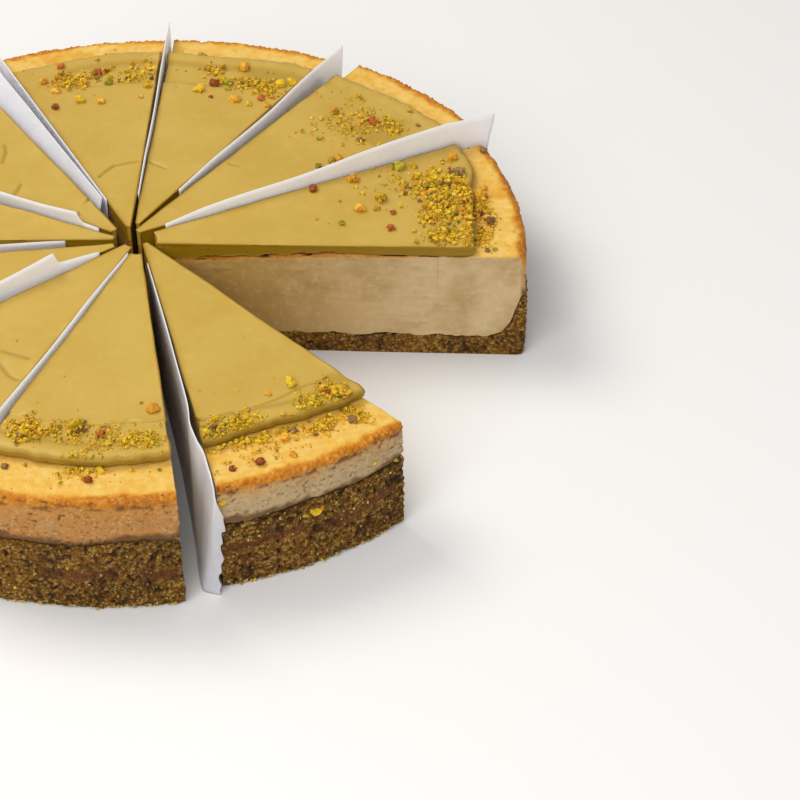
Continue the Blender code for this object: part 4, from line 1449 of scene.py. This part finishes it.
DRIFTS = (
    Drift(101.0, 257.5, (2.4, 5.5), 420, (0.6, 2.0), "YYYYYYYYYYYYYYOOGSR"),
    Drift(100.5, 262.0, (2.2, 2.5), 60, (0.6, 1.8)),
    Drift(98.5, 265.8, (2.0, 2.8), 90, (0.6, 2.0), "YYYYYYYYGS"),
    Drift(100.5, 271.0, (2.2, 4.0), 90, (0.5, 1.6), "YYYYYYYOS"),
    Drift(104.0, 273.0, (2.6, 12.0), 240, (0.5, 1.6)),
    Drift(104.5, 277.5, (2.0, 3.6), 140, (0.6, 1.8)),
    Drift(113.5, 267.5, (1.5, 5.5), 160, (0.6, 1.8)),
    Drift(101.0, 288.5, (2.2, 2.4), 140, (0.5, 1.6), "YYYYYYYYS"),
    Drift(101.8, 293.4, (2.4, 4.0), 300, (0.6, 2.0)),
    Drift(103.2, 290.0, (1.4, 4.5), 130, (0.5, 1.6), "YYYYYYYYS"),
    Drift(106.5, 296.0, (0.9, 14.0), 240, (0.6, 2.0), "YYYYYYYYYO"),
    Drift(103.0, 306.0, (2.0, 4.5), 180, (0.6, 1.8)),
    Drift(104.5, 311.0, (3.2, 2.6), 280, (0.6, 2.0), "YYYYYYYYYYYOSG"),
    Drift(110.5, 305.5, (2.2, 6.0), 200, (0.6, 1.8), "YYYYYYYYYOOS"),
    Drift(113.0, 311.0, (2.4, 2.8), 150, (0.6, 1.6), "YYYYYYYYOO"),
    Drift(112.5, 296.0, (2.6, 10.0), 110, (0.5, 1.4)),
    Drift(103.5, 17.0, (4.6, 7.0), 640, (0.7, 2.4), "YYYYYYYYYYYYYYYYOOGS"),
    Drift(103.0, 7.0, (4.0, 6.0), 620, (0.6, 2.2), "YYYYYYYYYYYYYYYYOOGS"),
    Drift(101.5, 0.0, (3.4, 4.0), 320, (0.6, 2.0), "YYYYYYYYYYYOG"),
    Drift(91.0, 20.0, (4.0, 9.0), 70, (0.6, 1.8)),
    Drift(111.5, 11.0, (1.4, 14.0), 320, (0.6, 2.2), "YYYYYYYOOR"),
    Drift(110.0, 0.0, (1.4, 8.0), 160, (0.6, 2.0), "YYYYYYYOO"),
    Drift(115.5, 11.0, (2.2, 6.0), 260, (0.7, 2.2), "YYYYYYOOOR"),
    Drift(114.5, 2.0, (2.0, 6.0), 190, (0.6, 1.8), "YYYYYYYOOS"),
    Drift(98.0, 45.0, (7.0, 12.0), 260, (0.6, 1.8)),
    Drift(106.0, 40.0, (3.0, 8.0), 180, (0.6, 1.8)),
)


def any_way(dice: random.Random) -> Vector:
    """Unit vector in a random direction."""
    return Vector([dice.gauss(0.0, 1.0) for _ in range(3)]).normalized()


class CrumbShapes:
    """Broken crumb shapes, a few of each size, as points and faces about the origin."""

    def __init__(self, dice: random.Random) -> None:
        """Make the shapes.

        Args:
            dice: the seeded source of their unevenness.
        """
        self.small = [self.chip(dice, 9, 0) for _ in range(14)]
        self.large = [self.chip(dice, 14, 1) for _ in range(10)]
        self.lumpy = [self.chip(dice, 22, 2) for _ in range(6)]

    def chip(self, dice: random.Random, count: int,
             splits: int) -> tuple[np.ndarray, np.ndarray]:
        """One broken crumb of about unit width.

        Args:
            dice: the seeded source of its unevenness.
            count: how many corners it is broken to.
            splits: how often its faces are split to make it craggy.

        Returns:
            Its points, and its triangles as places among them.
        """
        work = bmesh.new()
        stretch = Vector((dice.uniform(0.95, 1.3), dice.uniform(0.8, 1.0), dice.uniform(0.65, 0.95)))
        for _ in range(count):
            work.verts.new(any_way(dice) * dice.uniform(0.4, 0.54) * stretch)
        hull = bmesh.ops.convex_hull(work, input=work.verts)
        inner = {item for item in hull["geom_interior"] if isinstance(item, bmesh.types.BMVert)}
        bmesh.ops.delete(work, geom=list(inner), context="VERTS")
        for _ in range(splits):
            bmesh.ops.subdivide_edges(work, edges=work.edges, cuts=1, use_grid_fill=True)
            bmesh.ops.smooth_vert(work, verts=work.verts, factor=0.3, use_axis_x=True,
                                  use_axis_y=True, use_axis_z=True)
        bmesh.ops.triangulate(work, faces=work.faces)
        face_outwards(work)
        work.verts.index_update()
        spots = np.array([vert.co for vert in work.verts])
        faces = np.array([[vert.index for vert in face.verts] for face in work.faces])
        work.free()
        if splits:
            salt = dice.randrange(1000)
            cracks, _ = grains(spots * 10.0, 2.6, salt)
            spots = spots * (1.18 + 0.2 * ripple(spots * 10.0, 3.0, salt) - 0.32 * cracks)[:, None]
        return spots, faces


@dataclass
class CrumbField:
    """All loose crumbs: where they lie, and one joined piece for each kind."""
    carriers: list[bpy.types.Object]
    dice: random.Random
    small_limit: float = 1.9
    lump_limit: float = 3.1
    sink: float = 0.16
    clumping: float = 0.55
    above: float = 90.0
    lowest: float = 36.0
    slope: float = 1.6
    outside: float = 170.0
    rows: dict = field(default_factory=lambda: {kind: [] for kind in Nut})

    def __post_init__(self) -> None:
        """Join the carriers into one surface that crumbs can drop on."""
        spots, faces = [], []
        for carrier in self.carriers:
            base = len(spots)
            spots += [vert.co.copy() for vert in carrier.data.vertices]
            faces += [[base + place for place in face.vertices] for face in carrier.data.polygons]
        self.ground = BVHTree.FromPolygons(spots, faces)

    def drop(self, radius: float, heading: float, width: float, kind: Nut,
             lift: float = 0.0) -> bool:
        """Lay a crumb on the cake from above.

        Args:
            radius: distance from the cake's middle.
            heading: its heading in degrees.
            width: its width.
            kind: which crumb it is.
            lift: how far above the cake it lies, on other crumbs.

        Returns:
            Whether it landed on the top, clear of the gaps.
        """
        turn = math.radians(heading)
        spot = Vector((radius * math.cos(turn) + TIN.middle[0], radius * math.sin(turn) + TIN.middle[1]))
        landings = []
        for step in ((0.0, 0.0), (0.35, 0.0), (-0.35, 0.0), (0.0, 0.35), (0.0, -0.35)):
            start = Vector((spot.x + step[0] * width, spot.y + step[1] * width, self.above)) * MM
            hit = self.ground.ray_cast(start, Vector((0.0, 0.0, -1.0)))
            if hit[0] is None or hit[0].z < self.lowest * MM:
                return False
            landings.append(hit[0].z / MM)
        level = sum(landings) / len(landings)
        if max(landings) - min(landings) > self.slope:
            return False
        self.rows[kind].append((spot.x, spot.y, level + lift + width * (0.35 - self.sink), width))
        return True

    def stick(self, heading: float, level: float, width: float, kind: Nut) -> bool:
        """Press a crumb into the cake's upright side.

        Args:
            heading: its heading in degrees.
            level: its height.
            width: its width.
            kind: which crumb it is.

        Returns:
            Whether it met the side.
        """
        turn = math.radians(heading)
        way = Vector((math.cos(turn), math.sin(turn), 0.0))
        start = (Vector((*TIN.middle, level)) + way * self.outside) * MM
        hit = self.ground.ray_cast(start, -way)
        if hit[0] is None:
            return False
        spot = hit[0] / MM
        if (spot - Vector((*TIN.middle, level))).length < TIN.radius - 8.0:
            return False
        spot += way * width * (0.3 - self.sink)
        self.rows[kind].append((spot.x, spot.y, max(spot.z, width * 0.4), width))
        return True

    def pick(self, mix: str) -> Nut:
        """A kind at random, where a mix names each kind as often as it comes."""
        return LETTERS[self.dice.choice(mix)]

    def lay_lumps(self) -> None:
        """The large crumbs, slice by slice."""
        for name, rows in LUMPS.items():
            landed = [self.lay_lump(radius, heading, width, LETTERS[letter])
                      for radius, heading, width, letter in rows]
            log.info("%s: %d of %d lumps landed", name, sum(landed), len(landed))

    def lay_lump(self, radius: float, heading: float, width: float, kind: Nut) -> bool:
        """Lay a large crumb as a body with smaller bits that cling to it.

        Args:
            radius: distance from the cake's middle.
            heading: its heading in degrees.
            width: its width.
            kind: which crumb it is.

        Returns:
            Whether it landed on the top.
        """
        if not self.drop(radius, heading, width, kind):
            return False
        body = Vector(self.rows[kind][-1][:3])
        for _ in range(int(4 + width * 2)):
            way = any_way(self.dice)
            way.z = abs(way.z) * 0.7 - 0.2
            bit = width * self.dice.uniform(0.16, 0.36)
            spot = body + way * width * 0.42
            own = kind if self.dice.random() < 0.8 else self.pick("YYOG")
            self.rows[own].append((spot.x, spot.y, spot.z, bit))
        return True

    def lay_drift(self, drift: Drift) -> None:
        """Strew one drift, its smallest crumbs the most common and some on top of others."""
        radius, heading = drift.radius, drift.heading
        for _ in range(drift.count):
            if self.dice.random() < self.clumping:
                radius += self.dice.gauss(0.0, 0.7)
                heading += math.degrees(self.dice.gauss(0.0, 0.7) / drift.radius)
            else:
                radius = drift.radius + self.dice.gauss(0.0, drift.spread[0])
                along = self.dice.gauss(0.0, drift.spread[1] * 0.6)
                heading = drift.heading + math.degrees(along / drift.radius)
            share = self.dice.random() ** 2.2
            width = drift.widths[0] + (drift.widths[1] - drift.widths[0]) * share
            lift = width * 0.5 if self.dice.random() < 0.35 else 0.0
            self.drop(radius, heading, width, self.pick(drift.mix), lift)

    def heading_in(self, sector: Sector, margin: float) -> float:
        """A random heading in a slice, off its cuts by a share of its width."""
        width = sector.end.heading - sector.start.heading
        return sector.start.heading + width * self.dice.uniform(margin, 1.0 - margin)

    def lay_rest(self, sector: Sector) -> None:
        """Crumbs of a slice that the photo shows little of, strewn like the others."""
        for _ in range(5):
            heading = self.heading_in(sector, 0.12)
            radius = self.dice.gauss(102.5, 2.5)
            count = self.dice.randrange(50, 110)
            self.lay_drift(Drift(radius, heading, (2.6, 6.0), count, (0.6, 2.2), "YYYYYYYYYYYOOGS"))
        for _ in range(20):
            heading = self.heading_in(sector, 0.08)
            radius = min(self.dice.gauss(99.0, 9.0), 122.0)
            size = self.dice.uniform(1.8, 4.4)
            self.lay_lump(radius, heading, size, self.pick("YYYYYYOOGRS"))

    def lay_dust(self, sector: Sector) -> None:
        """Fine crumbs all over a slice, thicker towards its edge."""
        for _ in range(50):
            heading = self.heading_in(sector, 0.0)
            radius = 126.0 * self.dice.random() ** 0.16
            self.drop(radius, heading, self.dice.uniform(0.4, 0.9), self.pick("YYYYYYYYYYOS"))

    def press_sides(self, sector: Sector) -> None:
        """Crumbs pressed into a slice's side, most of them in its crust and along its foot."""
        for _ in range(90):
            heading = self.heading_in(sector, 0.03)
            level = self.dice.uniform(0.6, sector.wall)
            self.stick(heading, level, self.dice.uniform(0.6, 1.3), self.pick("PPPPPPPPYGSS"))
        for _ in range(60):
            heading = self.heading_in(sector, 0.02)
            self.stick(heading, self.dice.uniform(0.4, 1.4), self.dice.uniform(0.8, 1.7),
                       self.pick("PPPPYG"))

    def press_specks(self) -> None:
        """The few bright crumbs that stand out on the last slice's side."""
        for heading, level, width, letter in (
                (299.8, 21.5, 3.6, "Y"), (298.4, 21.2, 2.4, "G"), (305.2, 16.0, 1.6, "P"),
                (306.1, 20.2, 1.6, "G"), (313.0, 27.3, 2.0, "G"), (287.0, 34.0, 2.4, "Y"),
                (300.8, 22.3, 2.2, "O"), (297.0, 24.5, 1.6, "S"), (309.5, 30.0, 1.4, "Y")):
            self.stick(heading, level, width, LETTERS[letter])

    def joined(self, kind: Nut, shapes: CrumbShapes) -> bpy.types.Object:
        """All crumbs of one kind as one piece.

        Args:
            kind: which kind.
            shapes: the shapes that it is made of.

        Returns:
            The piece, whose points carry their crumb's own tone.
        """
        spots, faces, tones, base = [], [], [], 0
        for x, y, z, width in self.rows[kind]:
            stock = shapes.small if width < self.small_limit else shapes.large
            stock = shapes.lumpy if width > self.lump_limit else stock
            shape, sides = self.dice.choice(stock)
            tilt = Matrix.Rotation(self.dice.uniform(-0.6, 0.6), 3, "X")
            spin = Matrix.Rotation(self.dice.uniform(0.0, math.tau), 3, "Z")
            turned = shape @ np.array(spin @ tilt).T * width + np.array([x, y, z])
            turned[:, 2] = np.maximum(turned[:, 2], 0.0)
            spots.append(turned)
            faces.append(sides + base)
            tones.append(np.full(len(shape), self.dice.random(), np.float32))
            base += len(shape)
        name = kind.value.name.replace(" ", "_")
        mesh = bpy.data.meshes.new(name)
        mesh.from_pydata((np.concatenate(spots) * MM).tolist(), [], np.concatenate(faces).tolist())
        mesh.attributes.new("tone", "FLOAT", "POINT").data.foreach_set("value", np.concatenate(tones))
        return settle(name, mesh, kind.value.make())

    def build(self) -> list[bpy.types.Object]:
        """Lay every crumb and join them by kind."""
        self.lay_lumps()
        for drift in DRIFTS:
            self.lay_drift(drift)
        for sector in SECTORS:
            if sector.name not in LUMPS:
                self.lay_rest(sector)
            self.lay_dust(sector)
            self.press_sides(sector)
        self.press_specks()
        shapes = CrumbShapes(self.dice)
        return [self.joined(kind, shapes) for kind in Nut]


# Studio

@dataclass
class Studio:
    """Pale floor, soft lights and the camera."""
    camera_at: tuple[float, float, float] = (0.08777, -0.59072, 0.46168)
    camera_tilt: float = 50.33
    lens: float = 99.0
    sensor: float = 36.0

    def floor(self) -> None:
        """A wide plain floor."""
        work = bmesh.new()
        bmesh.ops.create_grid(work, x_segments=1, y_segments=1, size=3.0)
        mesh = to_mesh(work, "floor")
        made = place("floor", mesh)
        paint = bpy.data.materials.new("matt white paint")
        paint.use_nodes = True
        shader = paint.node_tree.nodes["Principled BSDF"]
        shader.inputs["Base Color"].default_value = linear("#EFEEED")
        shader.inputs["Roughness"].default_value = 0.8
        mesh.materials.append(paint)

    def light(self, name: str, at: tuple[float, float, float], size: float, power: float,
              colour: str) -> None:
        """A square soft light that points at the cake."""
        lamp = bpy.data.lights.new(name, "AREA")
        lamp.size = size
        lamp.energy = power
        lamp.color = linear(colour)[:3]
        made = place(name, lamp)
        made.location = at
        made.rotation_euler = (-Vector(at)).to_track_quat("-Z", "Y").to_euler()

    def sky(self) -> None:
        """Even white light from all round."""
        world = bpy.data.worlds.new("studio")
        bpy.context.scene.world = world
        world.use_nodes = True
        shade = world.node_tree.nodes["Background"]
        shade.inputs["Color"].default_value = (1.0, 1.0, 1.0, 1.0)
        shade.inputs["Strength"].default_value = 0.45

    def camera(self) -> None:
        """The photograph's viewpoint."""
        data = bpy.data.cameras.new("camera")
        data.lens = self.lens
        data.sensor_width = self.sensor
        data.clip_start = 0.01
        made = place("camera", data)
        made.location = self.camera_at
        made.rotation_euler = (math.radians(self.camera_tilt), 0.0, 0.0)
        bpy.context.scene.camera = made

    def build(self) -> None:
        """Set up the floor, the lights and the camera."""
        self.floor()
        self.sky()
        self.light("key", (-0.8, 0.5, 1.3), 0.8, 13.0, "#FFFAF0")
        self.light("front", (-0.2, -0.75, 0.8), 0.8, 6.5, "#FFFFFF")
        self.camera()
        bpy.context.scene.view_settings.view_transform = "Standard"


def main() -> None:
    """Build the cake's pieces and the studio."""
    logging.basicConfig(level=logging.INFO, format="%(message)s")
    crumb = PressedCrumb("pressed biscuit and pistachio crumb").make()
    cheese = BakedCheese("baked cream cheese").make()
    cream = SetCream("set pistachio cream").make()
    paper = BakingPaper("baking paper").make()
    carriers = []
    for sector in SECTORS:
        carriers.append(CrumbCrust(sector).build("crust", crumb, Slot.CRUST))
        carriers.append(CheeseFilling(sector).build("filling", cheese, Slot.FILLING))
        carriers.append(CreamTop(sector).build("topping", cream, Slot.TOPPING))
    for sheet in SHEETS:
        sheet.build(paper)
    CrumbField(carriers, random.Random(SEED)).build()
    Studio().build()


if __name__ == "__main__":
    main()
